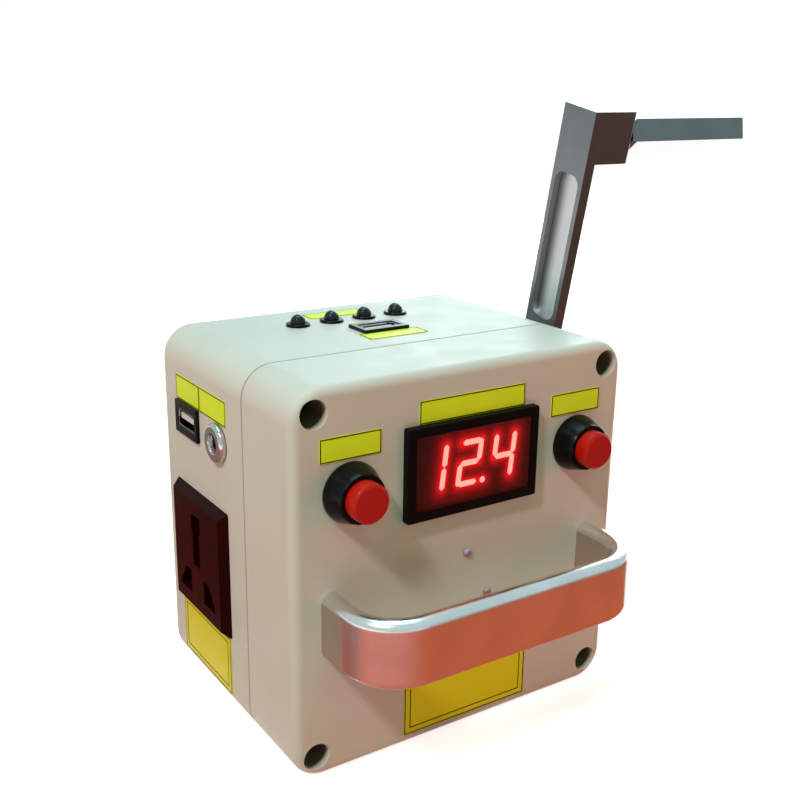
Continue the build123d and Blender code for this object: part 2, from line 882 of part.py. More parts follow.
for name, (x, z) in zip(("light_button", "power_button"), button_places):
    centre = (x, 0, z)
    with BuildPart() as bezel:
        turned(
            [
                (0, barrel_back_y),
                (barrel_radius, barrel_back_y),
                (barrel_radius, front_y),
                (flange_radius, front_y),
                (flange_radius, front_y - flange_base),
                (flange_tip_radius, front_y - flange_height),
                (cap_bore_radius, front_y - flange_height),
                (cap_bore_radius, spring_seat_y),
                (stem_radius + running_gap, spring_seat_y),
                (stem_radius + running_gap, stem_back_y + button_travel + free_gap),
                (0, stem_back_y + button_travel + free_gap),
            ],
            centre,
            Axis.Y,
        )
    bezel.part.label = name + "_bezel"
    export_step(bezel.part, f"parts/{name}_bezel.step")

    with BuildPart() as cap:
        turned(
            [
                (0, cap_front_y),
                (cap_radius - cap_bevel, cap_front_y),
                (cap_radius, cap_front_y + cap_bevel),
                (cap_radius, cap_back_y),
                (stem_radius, cap_back_y),
                (stem_radius, stem_back_y),
                (0, stem_back_y),
            ],
            centre,
            Axis.Y,
        )
    cap.part.label = name + "_cap"
    export_step(cap.part, f"parts/{name}_cap.step")

    coil_rise = spring_length - 2 * (spring_wire_radius + fixed_gap)
    with BuildPart() as spring:
        with BuildLine() as coil:
            Helix(
                coil_rise / spring_turns,
                coil_rise,
                spring_radius,
                center=(x, cap_back_y + spring_wire_radius + fixed_gap, z),
                direction=(0, 1, 0),
            )
        with BuildSketch(Plane(origin=coil.line @ 0, z_dir=coil.line % 0)):
            Circle(spring_wire_radius)
        sweep(path=coil.line, is_frenet=True)
    spring.part.label = name + "_spring"
    export_step(spring.part, f"parts/{name}_spring.step")

with BuildPart() as button_nuts:
    with BuildSketch(facing_front(panel_back_y)):
        with Locations(*button_places):
            RegularPolygon(nut_across_flats / 2, 6, major_radius=False, rotation=30)
            Circle(barrel_radius + fixed_gap, mode=Mode.SUBTRACT)
    extrude(amount=-nut_thickness)
button_nuts.part.label = "button_nuts"
export_step(button_nuts.part, "parts/button_nuts.step")

with BuildPart() as button_terminals:
    with BuildSketch(facing_front(barrel_back_y)):
        with Locations(*button_places):
            with Locations((-terminal_spacing / 2, 0), (terminal_spacing / 2, 0)):
                Rectangle(terminal_thickness, terminal_width)
    extrude(amount=-terminal_length)
button_terminals.part.label = "button_terminals"
export_step(button_terminals.part, "parts/button_terminals.step")

# ---------------------------------------------------------------- converter module

with BuildPart() as module_screws:
    for x, z in module_places:
        turned(
            [
                (0, front_y - module_head_height),
                (module_head_radius / 2, front_y - module_head_height),
                (module_head_radius, front_y - module_head_height / 3),
                (module_head_radius, front_y),
                (module_screw_radius, front_y),
                (module_screw_radius, module_screw_back_y),
                (0, module_screw_back_y),
            ],
            (x, 0, z),
            Axis.Y,
        )
module_screws.part.label = "module_screws"
export_step(module_screws.part, "parts/module_screws.step")

with BuildPart() as module_board:
    with BuildSketch(facing_front(module_board_y)):
        with Locations((module_x, module_z)):
            Rectangle(module_width, module_height)
        with Locations(*module_places):
            Circle(module_screw_radius + fixed_gap, mode=Mode.SUBTRACT)
    extrude(amount=-board_thickness)
    with BuildSketch(facing_front(module_board_y + board_thickness)):
        with Locations((module_x + coil_radius, module_z + coil_radius)):
            Circle(coil_radius)
        with Locations((module_x - small_coil_radius, module_z - small_coil_radius)):
            Circle(small_coil_radius)
    extrude(amount=-coil_height)
    with BuildSketch(facing_front(module_board_y + board_thickness)):
        with Locations(*module_places):
            RegularPolygon(module_nut_across_flats / 2, 6, major_radius=False)
            Circle(module_screw_radius + fixed_gap, mode=Mode.SUBTRACT)
    extrude(amount=-module_nut_thickness)
module_board.part.label = "module_board"
export_step(module_board.part, "parts/module_board.step")

# ---------------------------------------------------------------- USB sockets

with BuildPart() as usb_frames:
    for plane in usb_planes:
        with BuildSketch(plane):
            Rectangle(usb_frame_width, usb_frame_height)
        extrude(amount=usb_proud)
        with BuildSketch(plane):
            Rectangle(usb_sleeve_width, usb_sleeve_height)
        extrude(amount=-usb_sleeve_depth)
        with BuildSketch(plane.offset(usb_proud)):
            Rectangle(usb_shell_width + 2 * fixed_gap, usb_shell_height + 2 * fixed_gap)
        extrude(amount=-usb_proud - usb_sleeve_depth, mode=Mode.SUBTRACT)
usb_frames.part.label = "usb_frames"
export_step(usb_frames.part, "parts/usb_frames.step")

usb_throat_width = usb_shell_width - 2 * usb_shell_wall
usb_throat_height = usb_shell_height - 2 * usb_shell_wall
with BuildPart() as usb_shells:
    for plane in usb_planes:
        with BuildSketch(plane.offset(usb_proud - usb_shell_wall)):
            Rectangle(usb_shell_width, usb_shell_height)
        extrude(amount=-usb_shell_depth)
        with BuildSketch(plane.offset(usb_proud - usb_shell_wall)):
            Rectangle(usb_throat_width, usb_throat_height)
        extrude(amount=-usb_shell_depth + usb_shell_wall, mode=Mode.SUBTRACT)
usb_shells.part.label = "usb_shells"
export_step(usb_shells.part, "parts/usb_shells.step")

with BuildPart() as usb_tongues:
    for plane in usb_planes:
        with BuildSketch(plane.offset(usb_proud - usb_shell_depth)):
            with Locations((0, usb_tongue_offset)):
                Rectangle(usb_tongue_width, usb_tongue_thickness)
        extrude(amount=usb_shell_depth - usb_tongue_recess - usb_shell_wall)
usb_tongues.part.label = "usb_tongues"
export_step(usb_tongues.part, "parts/usb_tongues.step")

# ---------------------------------------------------------------- DC jack

jack_mouth_x = left_x - jack_flange_thickness
jack_core_x = jack_mouth_x + jack_bore_depth
with BuildPart() as dc_jack_barrel:
    turned(
        [
            (jack_bore_radius, jack_mouth_x),
            (jack_flange_radius - head_bevel, jack_mouth_x),
            (jack_flange_radius, jack_mouth_x + head_bevel),
            (jack_flange_radius, left_x),
            (jack_barrel_radius, left_x),
            (jack_barrel_radius, left_x + jack_barrel_length),
            (jack_bore_radius, left_x + jack_barrel_length),
        ],
        (0, jack_y, jack_z),
        Axis.X,
    )
dc_jack_barrel.part.label = "dc_jack_barrel"
export_step(dc_jack_barrel.part, "parts/dc_jack_barrel.step")

with BuildPart() as dc_jack_pin:
    turned(
        [
            (0, jack_mouth_x + jack_pin_recess),
            (jack_pin_radius, jack_mouth_x + jack_pin_recess),
            (jack_pin_radius, jack_core_x),
            (jack_bore_radius - fixed_gap, jack_core_x),
            (jack_bore_radius - fixed_gap, jack_core_x + jack_core_thickness),
            (0, jack_core_x + jack_core_thickness),
        ],
        (0, jack_y, jack_z),
        Axis.X,
    )
dc_jack_pin.part.label = "dc_jack_pin"
export_step(dc_jack_pin.part, "parts/dc_jack_pin.step")

with BuildPart() as dc_jack_nut:
    with BuildSketch(facing_right(left_inner_x)):
        with Locations((jack_y, jack_z)):
            RegularPolygon(jack_nut_across_flats / 2, 6, major_radius=False)
            Circle(jack_barrel_radius + fixed_gap, mode=Mode.SUBTRACT)
    extrude(amount=jack_nut_thickness)
dc_jack_nut.part.label = "dc_jack_nut"
export_step(dc_jack_nut.part, "parts/dc_jack_nut.step")

# ---------------------------------------------------------------- mains socket

socket_plane = Plane(origin=(left_x, socket_y, socket_z), x_dir=(0, -1, 0), z_dir=(-1, 0, 0))
with BuildPart() as ac_socket_face:
    with BuildSketch(socket_plane):
        RectangleRounded(socket_width, socket_height, socket_edge_radius)
    extrude(amount=socket_proud, taper=degrees(atan2(socket_bevel, socket_proud)))
    with BuildSketch(socket_plane):
        Rectangle(socket_body_width, socket_body_height)
    extrude(amount=-socket_body_depth)
    with BuildSketch(socket_plane.offset(socket_proud)):
        Polygon(
            (-earth_slot_width / 2, earth_slot_low),
            (earth_slot_width / 2, earth_slot_low),
            (earth_slot_width / 2, earth_slot_step),
            (earth_slot_top_width / 2, earth_slot_step),
            (earth_slot_top_width / 2, earth_slot_high),
            (-earth_slot_top_width / 2, earth_slot_high),
            (-earth_slot_top_width / 2, earth_slot_step),
            (-earth_slot_width / 2, earth_slot_step),
            align=None,
        )
        for side in (-1, 1):
            Polygon(
                (side * side_slot_inner, side_slot_low),
                (side * side_slot_outer, side_slot_low),
                (side * side_slot_outer, side_slot_low + side_slot_lip),
                (side * side_slot_shoulder, side_slot_high),
                (side * side_slot_inner, side_slot_high),
                align=None,
            )
    extrude(amount=-slot_depth, mode=Mode.SUBTRACT)
ac_socket_face.part.label = "ac_socket_face"
export_step(ac_socket_face.part, "parts/ac_socket_face.step")

with BuildPart() as ac_socket_contacts:
    with BuildSketch(socket_plane.offset(socket_proud - slot_depth)):
        with Locations((0, earth_slot_low + contact_height / 2 + fixed_gap)):
            Rectangle(contact_thickness, contact_height)
        for side in (-1, 1):
            with Locations(
                (
                    side * (side_slot_inner + contact_thickness / 2 + fixed_gap),
                    side_slot_low + contact_height / 2 + fixed_gap,
                )
            ):
                Rectangle(contact_thickness, contact_height)
    extrude(amount=contact_depth)
ac_socket_contacts.part.label = "ac_socket_contacts"
export_step(ac_socket_contacts.part, "parts/ac_socket_contacts.step")

# ---------------------------------------------------------------- LEDs

led_bore_radius = led_radius + fixed_gap
with BuildPart() as led_holders:
    for x, y in led_places:
        turned(
            [
                (led_bore_radius, box_height + holder_flange_thickness),
                (holder_flange_radius - fine_bevel, box_height + holder_flange_thickness),
                (holder_flange_radius, box_height + holder_flange_thickness - fine_bevel),
                (holder_flange_radius, box_height),
                (holder_sleeve_radius, box_height),
                (holder_sleeve_radius, box_height - holder_sleeve_depth),
                (led_bore_radius, box_height - holder_sleeve_depth),
            ],
            (x, y, 0),
            Axis.Z,
        )
led_holders.part.label = "led_holders"
export_step(led_holders.part, "parts/led_holders.step")

with BuildPart() as leds:
    with Locations(*[(x, y, box_height - led_skirt) for x, y in led_places]):
        Cylinder(led_radius, led_skirt + led_rise, align=(Align.CENTER, Align.CENTER, Align.MIN))
    fillet(leds.faces().group_by(Axis.Z)[-1].edges(), radius=led_radius - fixed_gap)
    with BuildSketch(facing_up(box_height - led_skirt)):
        for x, y in led_places:
            with Locations((x - led_leg_spacing / 2, y), (x + led_leg_spacing / 2, y)):
                Circle(led_leg_radius)
    extrude(amount=-led_leg_length)
leds.part.label = "leds"
export_step(leds.part, "parts/leds.step")

# ---------------------------------------------------------------- stickers

switch_label_z = box_height - switch_label_drop
meter_label_z = meter_z + meter_height / 2 + sticker_gap + meter_label_height / 2
with BuildPart() as front_labels:
    with BuildSketch(facing_front(front_y)):
        with Locations((-button_x, switch_label_z), (button_x + power_label_shift, switch_label_z)):
            RectangleRounded(switch_label_width, switch_label_height, sticker_corner_radius)
        with Locations((meter_x + meter_label_shift, meter_label_z)):
            RectangleRounded(meter_label_width, meter_label_height, sticker_corner_radius)
        with Locations((name_label_x, name_label_z)):
            RectangleRounded(name_label_width, name_label_height, sticker_corner_radius)
    extrude(amount=sticker_thickness)
front_labels.part.label = "front_labels"
export_step(front_labels.part, "parts/front_labels.step")

usb_label_y = side_usb_y
jack_label_y = usb_label_y - usb_label_width / 2 - sticker_gap - jack_label_width / 2
jack_label_z = box_height - jack_label_drop + jack_label_height / 2
warning_label_z = socket_z - socket_height / 2 - sticker_gap - warning_label_height / 2
with BuildPart() as side_labels:
    with BuildSketch(facing_right(left_x)):
        with Locations((usb_label_y, jack_label_z)):
            RectangleRounded(usb_label_width, jack_label_height, sticker_corner_radius)
        with Locations((jack_label_y, jack_label_z)):
            RectangleRounded(jack_label_width, jack_label_height, sticker_corner_radius)
        with Locations((socket_y, warning_label_z)):
            RectangleRounded(warning_label_width, warning_label_height, sticker_corner_radius)
    extrude(amount=-sticker_thickness)
side_labels.part.label = "side_labels"
export_step(side_labels.part, "parts/side_labels.step")

top_usb_label_y = top_usb_y - usb_frame_height / 2 - sticker_gap - led_label_height / 2
with BuildPart() as top_labels:
    with BuildSketch(facing_up(box_height)):
        with Locations((led_label_x, led_label_y), (top_usb_x, top_usb_label_y)):
            RectangleRounded(led_label_width, led_label_height, sticker_corner_radius)
    extrude(amount=sticker_thickness)
top_labels.part.label = "top_labels"
export_step(top_labels.part, "parts/top_labels.step")

# ---------------------------------------------------------------- crank

shaft_start_x = inner_plate_back_x - plate_bush_flange_thickness - shaft_tail
shaft_end_x = arm_outer_x - free_gap
with BuildPart() as crank_shaft:
    turned(
        [
            (0, shaft_start_x),
            (shaft_radius - end_bevel, shaft_start_x),
            (shaft_radius, shaft_start_x + end_bevel),
            (shaft_radius, shaft_end_x),
            (arm_screw_radius + fixed_gap, shaft_end_x),
            (arm_screw_radius + fixed_gap, arm_outer_x - arm_screw_length - fixed_gap),
            (0, arm_outer_x - arm_screw_length - fixed_gap),
        ],
        (0, hub_y, hub_z),
        Axis.X,
    )
crank_shaft.part.label = "crank_shaft"
export_step(crank_shaft.part, "parts/crank_shaft.step")

with BuildPart() as crank_arm:
    with BuildSketch(crank_plane(arm_inner_x)):
        Circle(arm_hub_radius)
        with Locations((arm_reach / 2, 0)):
            Rectangle(arm_reach, arm_width)
    extrude(amount=arm_thickness)
    with BuildSketch(crank_plane(arm_inner_x)):
        Circle(arm_width / 2)
    extrude(amount=arm_boss_x - arm_inner_x)
    with BuildSketch(crank_plane(arm_boss_x)):
        Circle(shaft_radius + fixed_gap)
    extrude(amount=arm_outer_x - arm_boss_x, mode=Mode.SUBTRACT)
    with BuildSketch(crank_plane(arm_inner_x)):
        with Locations(((pocket_start + pocket_end) / 2, 0)):
            RectangleRounded(pocket_end - pocket_start, pocket_width, pocket_width / 3)
    extrude(amount=pocket_depth, mode=Mode.SUBTRACT)
crank_arm.part.label = "crank_arm"
export_step(crank_arm.part, "parts/crank_arm.step")

with BuildPart() as arm_screw:
    turned(
        [
            (0, arm_outer_x - arm_screw_length),
            (arm_screw_radius, arm_outer_x - arm_screw_length),
            (arm_screw_radius, arm_outer_x),
            (arm_screw_head_radius, arm_outer_x),
            (arm_screw_head_radius, arm_outer_x + arm_screw_head_height / 2),
            (arm_screw_head_radius / 2, arm_outer_x + arm_screw_head_height),
            (0, arm_outer_x + arm_screw_head_height),
        ],
        (0, hub_y, hub_z),
        Axis.X,
    )
    with BuildSketch(facing_right(arm_outer_x + arm_screw_head_height)):
        with Locations((hub_y, hub_z)):
            RegularPolygon(arm_screw_socket_radius, 6)
    extrude(amount=-arm_screw_socket_depth, mode=Mode.SUBTRACT)
arm_screw.part.label = "arm_screw"
export_step(arm_screw.part, "parts/arm_screw.step")

grip_centre = (0, grip_y, grip_z)
with BuildPart() as grip_block:
    with BuildSketch(crank_plane(arm_outer_x)):
        with Locations((block_reach, 0)):
            Rectangle(block_length, arm_width)
    extrude(amount=block_thickness)
    fillet(grip_block.faces().sort_by(Axis.X)[-1].edges(), radius=block_edge_radius)
    with BuildSketch(crank_plane(block_outer_x)):
        with Locations((block_reach, 0)):
            Circle(spindle_radius + fixed_gap)
    extrude(amount=-spindle_thread_length - fixed_gap, mode=Mode.SUBTRACT)
grip_block.part.label = "grip_block"
export_step(grip_block.part, "parts/grip_block.step")

with BuildPart() as grip_collar:
    turned(
        [
            (spindle_radius + fixed_gap, block_outer_x),
            (collar_radius, block_outer_x),
            (collar_radius, block_outer_x + collar_thickness),
            (spindle_radius + fixed_gap, block_outer_x + collar_thickness),
        ],
        grip_centre,
        Axis.X,
    )
grip_collar.part.label = "grip_collar"
export_step(grip_collar.part, "parts/grip_collar.step")

with BuildPart() as grip_spindle:
    turned(
        [
            (0, block_outer_x - spindle_thread_length),
            (spindle_radius, block_outer_x - spindle_thread_length),
            (spindle_radius, spindle_seat_x),
            (spindle_head_radius, spindle_seat_x),
            (spindle_head_radius, spindle_end_x - end_bevel),
            (spindle_head_radius - end_bevel, spindle_end_x),
            (0, spindle_end_x),
        ],
        grip_centre,
        Axis.X,
    )
    with BuildSketch(facing_right(spindle_end_x)):
        with Locations((grip_y, grip_z)):
            Rectangle(2 * spindle_radius, spindle_slot_width)
    extrude(amount=-spindle_slot_depth, mode=Mode.SUBTRACT)
grip_spindle.part.label = "grip_spindle"
export_step(grip_spindle.part, "parts/grip_spindle.step")

with BuildPart() as hand_grip:
    with BuildSketch(facing_right(grip_start_x)):
        with Locations((grip_y, grip_z)):
            RegularPolygon(grip_across_flats / 2, 6, major_radius=False, rotation=30 - grip_turn)
    extrude(amount=grip_length)
    chamfer(hand_grip.faces().filter_by(Axis.X).edges(), length=grip_end_bevel)
    with BuildSketch(facing_right(grip_start_x)):
        with Locations((grip_y, grip_z)):
            Circle(spindle_radius + running_gap)
    extrude(amount=grip_length, mode=Mode.SUBTRACT)
    with BuildSketch(facing_right(spindle_seat_x - free_gap)):
        with Locations((grip_y, grip_z)):
            Circle(spindle_head_radius + free_gap)
    extrude(amount=grip_length, mode=Mode.SUBTRACT)
hand_grip.part.label = "hand_grip"
export_step(hand_grip.part, "parts/hand_grip.step")

# ---------------------------------------------------------------- bearings

with BuildPart() as wall_bush:
    turned(
        [
            (shaft_radius + running_gap, right_x + wall_bush_flange_thickness),
            (wall_bush_flange_radius, right_x + wall_bush_flange_thickness),
            (wall_bush_flange_radius, right_x),
            (wall_bush_radius, right_x),
            (wall_bush_radius, right_x - wall_bush_depth),
            (shaft_radius + running_gap, right_x - wall_bush_depth),
        ],
        (0, hub_y, hub_z),
        Axis.X,
    )
wall_bush.part.label = "wall_bush"
export_step(wall_bush.part, "parts/wall_bush.step")

with BuildPart() as plate_bushes:
    for flange_x, seat_x, nose_x in (
        (outer_plate_x + plate_bush_flange_thickness, outer_plate_x, outer_plate_inner_x),
        (inner_plate_back_x - plate_bush_flange_thickness, inner_plate_back_x, inner_plate_x),
    ):
        turned(
            [
                (shaft_radius + running_gap, flange_x),
                (plate_bush_flange_radius, flange_x),
                (plate_bush_flange_radius, seat_x),
                (plate_bush_radius, seat_x),
                (plate_bush_radius, nose_x),
                (shaft_radius + running_gap, nose_x),
            ],
            (0, hub_y, hub_z),
            Axis.X,
        )
plate_bushes.part.label = "plate_bushes"
export_step(plate_bushes.part, "parts/plate_bushes.step")

# ---------------------------------------------------------------- gear train

half_pinion_pitch = 180 / pinion_teeth
with BuildPart() as drive_gear:
    with BuildSketch(gear_plane(drive_gear_x, hub_z)):
        gear_outline(wheel_teeth, 0)
    extrude(amount=gear_face)
    with BuildSketch(gear_plane(drive_gear_x, hub_z)):
        Circle(drive_hub_radius)
    extrude(amount=-drive_hub_length)
    with BuildSketch(gear_plane(drive_gear_x - drive_hub_length, hub_z)):
        Circle(shaft_radius + fixed_gap)
    extrude(amount=drive_hub_length + gear_face, mode=Mode.SUBTRACT)
drive_gear.part.label = "drive_gear"
export_step(drive_gear.part, "parts/drive_gear.step")

with BuildPart() as idler_gear:
    with BuildSketch(gear_plane(idler_wheel_x, idler_z)):
        gear_outline(wheel_teeth, 0)
    extrude(amount=gear_face)
    with BuildSketch(gear_plane(idler_wheel_x + gear_face, idler_z)):
        gear_outline(pinion_teeth, half_pinion_pitch)
    extrude(amount=idler_end_x - idler_wheel_x - gear_face)
    with BuildSketch(gear_plane(idler_wheel_x, idler_z)):
        Circle(idler_collar_radius)
    extrude(amount=idler_start_x - idler_wheel_x)
    with BuildSketch(gear_plane(idler_start_x, idler_z)):
        Circle(idler_pin_radius + running_gap)
    extrude(amount=idler_end_x - idler_start_x, mode=Mode.SUBTRACT)
idler_gear.part.label = "idler_gear"
export_step(idler_gear.part, "parts/idler_gear.step")

with BuildPart() as pinion:
    with BuildSketch(gear_plane(pinion_start_x, generator_z)):
        gear_outline(pinion_teeth, half_pinion_pitch)
        Circle(rotor_shaft_radius + fixed_gap, mode=Mode.SUBTRACT)
    extrude(amount=pinion_end_x - pinion_start_x)
pinion.part.label = "pinion"
export_step(pinion.part, "parts/pinion.step")

with BuildPart() as idler_pin:
    with BuildSketch(gear_plane(inner_plate_back_x, idler_z)):
        Circle(idler_pin_radius)
    extrude(amount=outer_plate_x - inner_plate_back_x)
idler_pin.part.label = "idler_pin"
export_step(idler_pin.part, "parts/idler_pin.step")

# ---------------------------------------------------------------- gearbox frame


def plate_outline():
    """Outline of a gearbox plate with the holes that both plates share."""
    with Locations((hub_y, (plate_top_z + plate_bottom_z) / 2)):
        RectangleRounded(2 * plate_half_width, plate_top_z - plate_bottom_z, plate_corner_radius)
    with Locations((hub_y, hub_z)):
        Circle(plate_bush_radius + fixed_gap, mode=Mode.SUBTRACT)
    with Locations((hub_y, idler_z)):
        Circle(idler_pin_radius + fixed_gap, mode=Mode.SUBTRACT)
    with Locations(*gearbox_post_places):
        Circle(rivet_radius + fixed_gap, mode=Mode.SUBTRACT)


with BuildPart() as outer_plate:
    with BuildSketch(facing_right(outer_plate_inner_x)):
        plate_outline()
        with Locations(*sleeve_places):
            Circle(gearbox_screw_radius + fixed_gap, mode=Mode.SUBTRACT)
    extrude(amount=plate_thickness)
outer_plate.part.label = "outer_plate"
export_step(outer_plate.part, "parts/outer_plate.step")

with BuildPart() as inner_plate:
    with BuildSketch(facing_right(inner_plate_back_x)):
        plate_outline()
        with Locations((hub_y, generator_z)):
            Circle(can_nose_radius + fixed_gap, mode=Mode.SUBTRACT)
        with Locations(*generator_screw_places):
            Circle(generator_screw_radius + fixed_gap, mode=Mode.SUBTRACT)
    extrude(amount=plate_thickness)
inner_plate.part.label = "inner_plate"
export_step(inner_plate.part, "parts/inner_plate.step")

with BuildPart() as gearbox_posts:
    with BuildSketch(facing_right(inner_plate_x)):
        discs(gearbox_post_places, gearbox_post_radius)
    extrude(amount=plate_gap)
    with BuildSketch(facing_right(inner_plate_back_x)):
        discs(gearbox_post_places, rivet_radius)
    extrude(amount=outer_plate_x - inner_plate_back_x)
gearbox_posts.part.label = "gearbox_posts"
export_step(gearbox_posts.part, "parts/gearbox_posts.step")

with BuildPart() as gearbox_sleeves:
    with BuildSketch(facing_right(outer_plate_x)):
        with Locations(*sleeve_places):
            Circle(sleeve_radius)
            Circle(gearbox_screw_radius + fixed_gap, mode=Mode.SUBTRACT)
    extrude(amount=sleeve_length)
gearbox_sleeves.part.label = "gearbox_sleeves"
export_step(gearbox_sleeves.part, "parts/gearbox_sleeves.step")

with BuildPart() as gearbox_screws:
    head_rim_radius = gearbox_screw_head_radius - fixed_gap
    for y, z in sleeve_places:
        turned(
            [
                (0, right_x - fixed_gap),
                (head_rim_radius, right_x - fixed_gap),
                (gearbox_screw_radius, right_x - fixed_gap - head_rim_radius + gearbox_screw_radius),
                (gearbox_screw_radius, outer_plate_inner_x),
                (0, outer_plate_inner_x),
            ],
            (0, y, z),
            Axis.X,
        )
    with BuildSketch(facing_right(right_x)):
        with Locations(*sleeve_places):
            Rectangle(gearbox_slot_length, gearbox_slot_width)
            Rectangle(gearbox_slot_width, gearbox_slot_length)
    extrude(amount=-gearbox_slot_depth, mode=Mode.SUBTRACT)
gearbox_screws.part.label = "gearbox_screws"
export_step(gearbox_screws.part, "parts/gearbox_screws.step")

# ---------------------------------------------------------------- generator

generator_centre = (0, hub_y, generator_z)
rotor_bore_radius = rotor_shaft_radius + running_gap
can_inner_radius = can_radius - can_wall
can_open_x = can_back_x + end_cap_thickness
with BuildPart() as generator_can:
    turned(
        [
            (rotor_bore_radius, inner_plate_x),
            (can_nose_radius, inner_plate_x),
            (can_nose_radius, can_front_x),
            (can_radius, can_front_x),
            (can_radius, can_open_x),
            (can_inner_radius, can_open_x),
            (can_inner_radius, can_front_x - can_front),
            (rotor_bore_radius, can_front_x - can_front),
        ],
        generator_centre,
        Axis.X,
    )
    with BuildSketch(facing_right(can_front_x)):
        discs(generator_screw_places, generator_screw_radius + fixed_gap)
    extrude(amount=-can_front, mode=Mode.SUBTRACT)
generator_can.part.label = "generator_can"
export_step(generator_can.part, "parts/generator_can.step")

with BuildPart() as generator_cap:
    turned(
        [
            (rotor_bore_radius, can_back_x),
            (can_radius, can_back_x),
            (can_radius, can_open_x),
            (can_inner_radius - fixed_gap, can_open_x),
            (can_inner_radius - fixed_gap, can_open_x + can_wall),
            (rotor_bore_radius, can_open_x + can_wall),
        ],
        generator_centre,
        Axis.X,
    )
generator_cap.part.label = "generator_cap"
export_step(generator_cap.part, "parts/generator_cap.step")

with BuildPart() as generator_magnets:
    with BuildSketch(facing_right(can_middle_x - magnet_length / 2)):
        with Locations((hub_y, generator_z)):
            Circle(can_inner_radius - fixed_gap)
            Circle(can_inner_radius - fixed_gap - magnet_thickness, mode=Mode.SUBTRACT)
            Rectangle(2 * can_radius, magnet_span, mode=Mode.INTERSECT)
    extrude(amount=magnet_length)
generator_magnets.part.label = "generator_magnets"
export_step(generator_magnets.part, "parts/generator_magnets.step")

armature_start_x = can_middle_x - armature_length / 2
armature_end_x = can_middle_x + armature_length / 2
with BuildPart() as generator_rotor:
    turned(
        [
            (0, can_back_x - rotor_shaft_tail),
            (rotor_shaft_radius, can_back_x - rotor_shaft_tail),
            (rotor_shaft_radius, armature_start_x - commutator_length),
            (commutator_radius, armature_start_x - commutator_length),
            (commutator_radius, armature_start_x),
            (armature_radius, armature_start_x),
            (armature_radius, armature_end_x),
            (rotor_shaft_radius, armature_end_x),
            (rotor_shaft_radius, pinion_end_x + rotor_shaft_nose),
            (0, pinion_end_x + rotor_shaft_nose),
        ],
        generator_centre,
        Axis.X,
    )
    with BuildSketch(facing_right(armature_start_x)):
        with Locations((hub_y, generator_z)):
            with PolarLocations(armature_radius, armature_slots):
                Rectangle(2 * armature_slot_depth, armature_slot_width)
    extrude(amount=armature_length, mode=Mode.SUBTRACT)
generator_rotor.part.label = "generator_rotor"
export_step(generator_rotor.part, "parts/generator_rotor.step")

with BuildPart() as generator_screws:
    for y, z in generator_screw_places:
        turned(
            [
                (0, can_front_x - can_front + free_gap),
                (generator_screw_radius, can_front_x - can_front + free_gap),
                (generator_screw_radius, inner_plate_x),
                (generator_screw_head_radius, inner_plate_x),
                (generator_screw_head_radius, inner_plate_x + generator_screw_head_height),
                (0, inner_plate_x + generator_screw_head_height),
            ],
            (0, y, z),
            Axis.X,
        )
generator_screws.part.label = "generator_screws"
export_step(generator_screws.part, "parts/generator_screws.step")

# ---------------------------------------------------------------- battery pack

cell_end_x = cell_length / 2
with BuildPart() as battery_tray:
    with BuildSketch(facing_up(wall)):
        with Locations((0, tray_y)):
            Rectangle(cell_length + 2 * (cell_gap + cell_button_height + tray_wall), tray_width)
    extrude(amount=tray_floor)
    with BuildSketch(facing_up(wall + tray_floor)):
        for side in (-1, 1):
            with Locations((side * (cell_end_x + cell_gap + cell_button_height + tray_wall / 2), tray_y)):
                Rectangle(tray_wall, tray_width)
    extrude(amount=tray_height)
battery_tray.part.label = "battery_tray"
export_step(battery_tray.part, "parts/battery_tray.step")

with BuildPart() as battery_cells:
    for i, (y, z) in enumerate(cell_places):
        flip = (-1) ** i
        turned(
            [
                (0, -flip * cell_end_x),
                (cell_radius - end_bevel, -flip * cell_end_x),
                (cell_radius, -flip * (cell_end_x - end_bevel)),
                (cell_radius, flip * (cell_end_x - end_bevel)),
                (cell_radius - end_bevel, flip * cell_end_x),
                (cell_button_radius, flip * cell_end_x),
                (cell_button_radius, flip * (cell_end_x + cell_button_height)),
                (0, flip * (cell_end_x + cell_button_height)),
            ],
            (0, y, z),
            Axis.X,
        )
battery_cells.part.label = "battery_cells"
export_step(battery_cells.part, "parts/battery_cells.step")

# ---------------------------------------------------------------- inverter board

with BuildPart() as inverter_board:
    with BuildSketch(facing_front(board_back_y)):
        with Locations((inverter_x, inverter_z)):
            Rectangle(inverter_width, inverter_height)
        with Locations(*board_screw_places):
            Circle(board_screw_radius + fixed_gap, mode=Mode.SUBTRACT)
    extrude(amount=board_thickness)
    with BuildSketch(facing_front(board_front_y)):
        for side in (-1, 1):
            with Locations((inverter_x + side * 2 * capacitor_radius, inverter_z - capacitor_drop)):
                Circle(capacitor_radius)
    extrude(amount=capacitor_height)
    with BuildSketch(facing_front(board_front_y)):
        with Locations((inverter_x, inverter_z - heatsink_drop)):
            Rectangle(heatsink_width, heatsink_height)
            slot_pitch = heatsink_width / heatsink_slots
            with GridLocations(slot_pitch, 0, heatsink_slots, 1):
                Rectangle(slot_pitch / 2, heatsink_height, mode=Mode.SUBTRACT)
    extrude(amount=heatsink_depth)
inverter_board.part.label = "inverter_board"
export_step(inverter_board.part, "parts/inverter_board.step")

with BuildPart() as inverter_transformer:
    with BuildSketch(facing_front(board_front_y)):
        with Locations((inverter_x, transformer_z)):
            Rectangle(transformer_width, transformer_winding_height)
            Rectangle(transformer_core_width, transformer_height)
    extrude(amount=transformer_depth)
inverter_transformer.part.label = "inverter_transformer"
export_step(inverter_transformer.part, "parts/inverter_transformer.step")

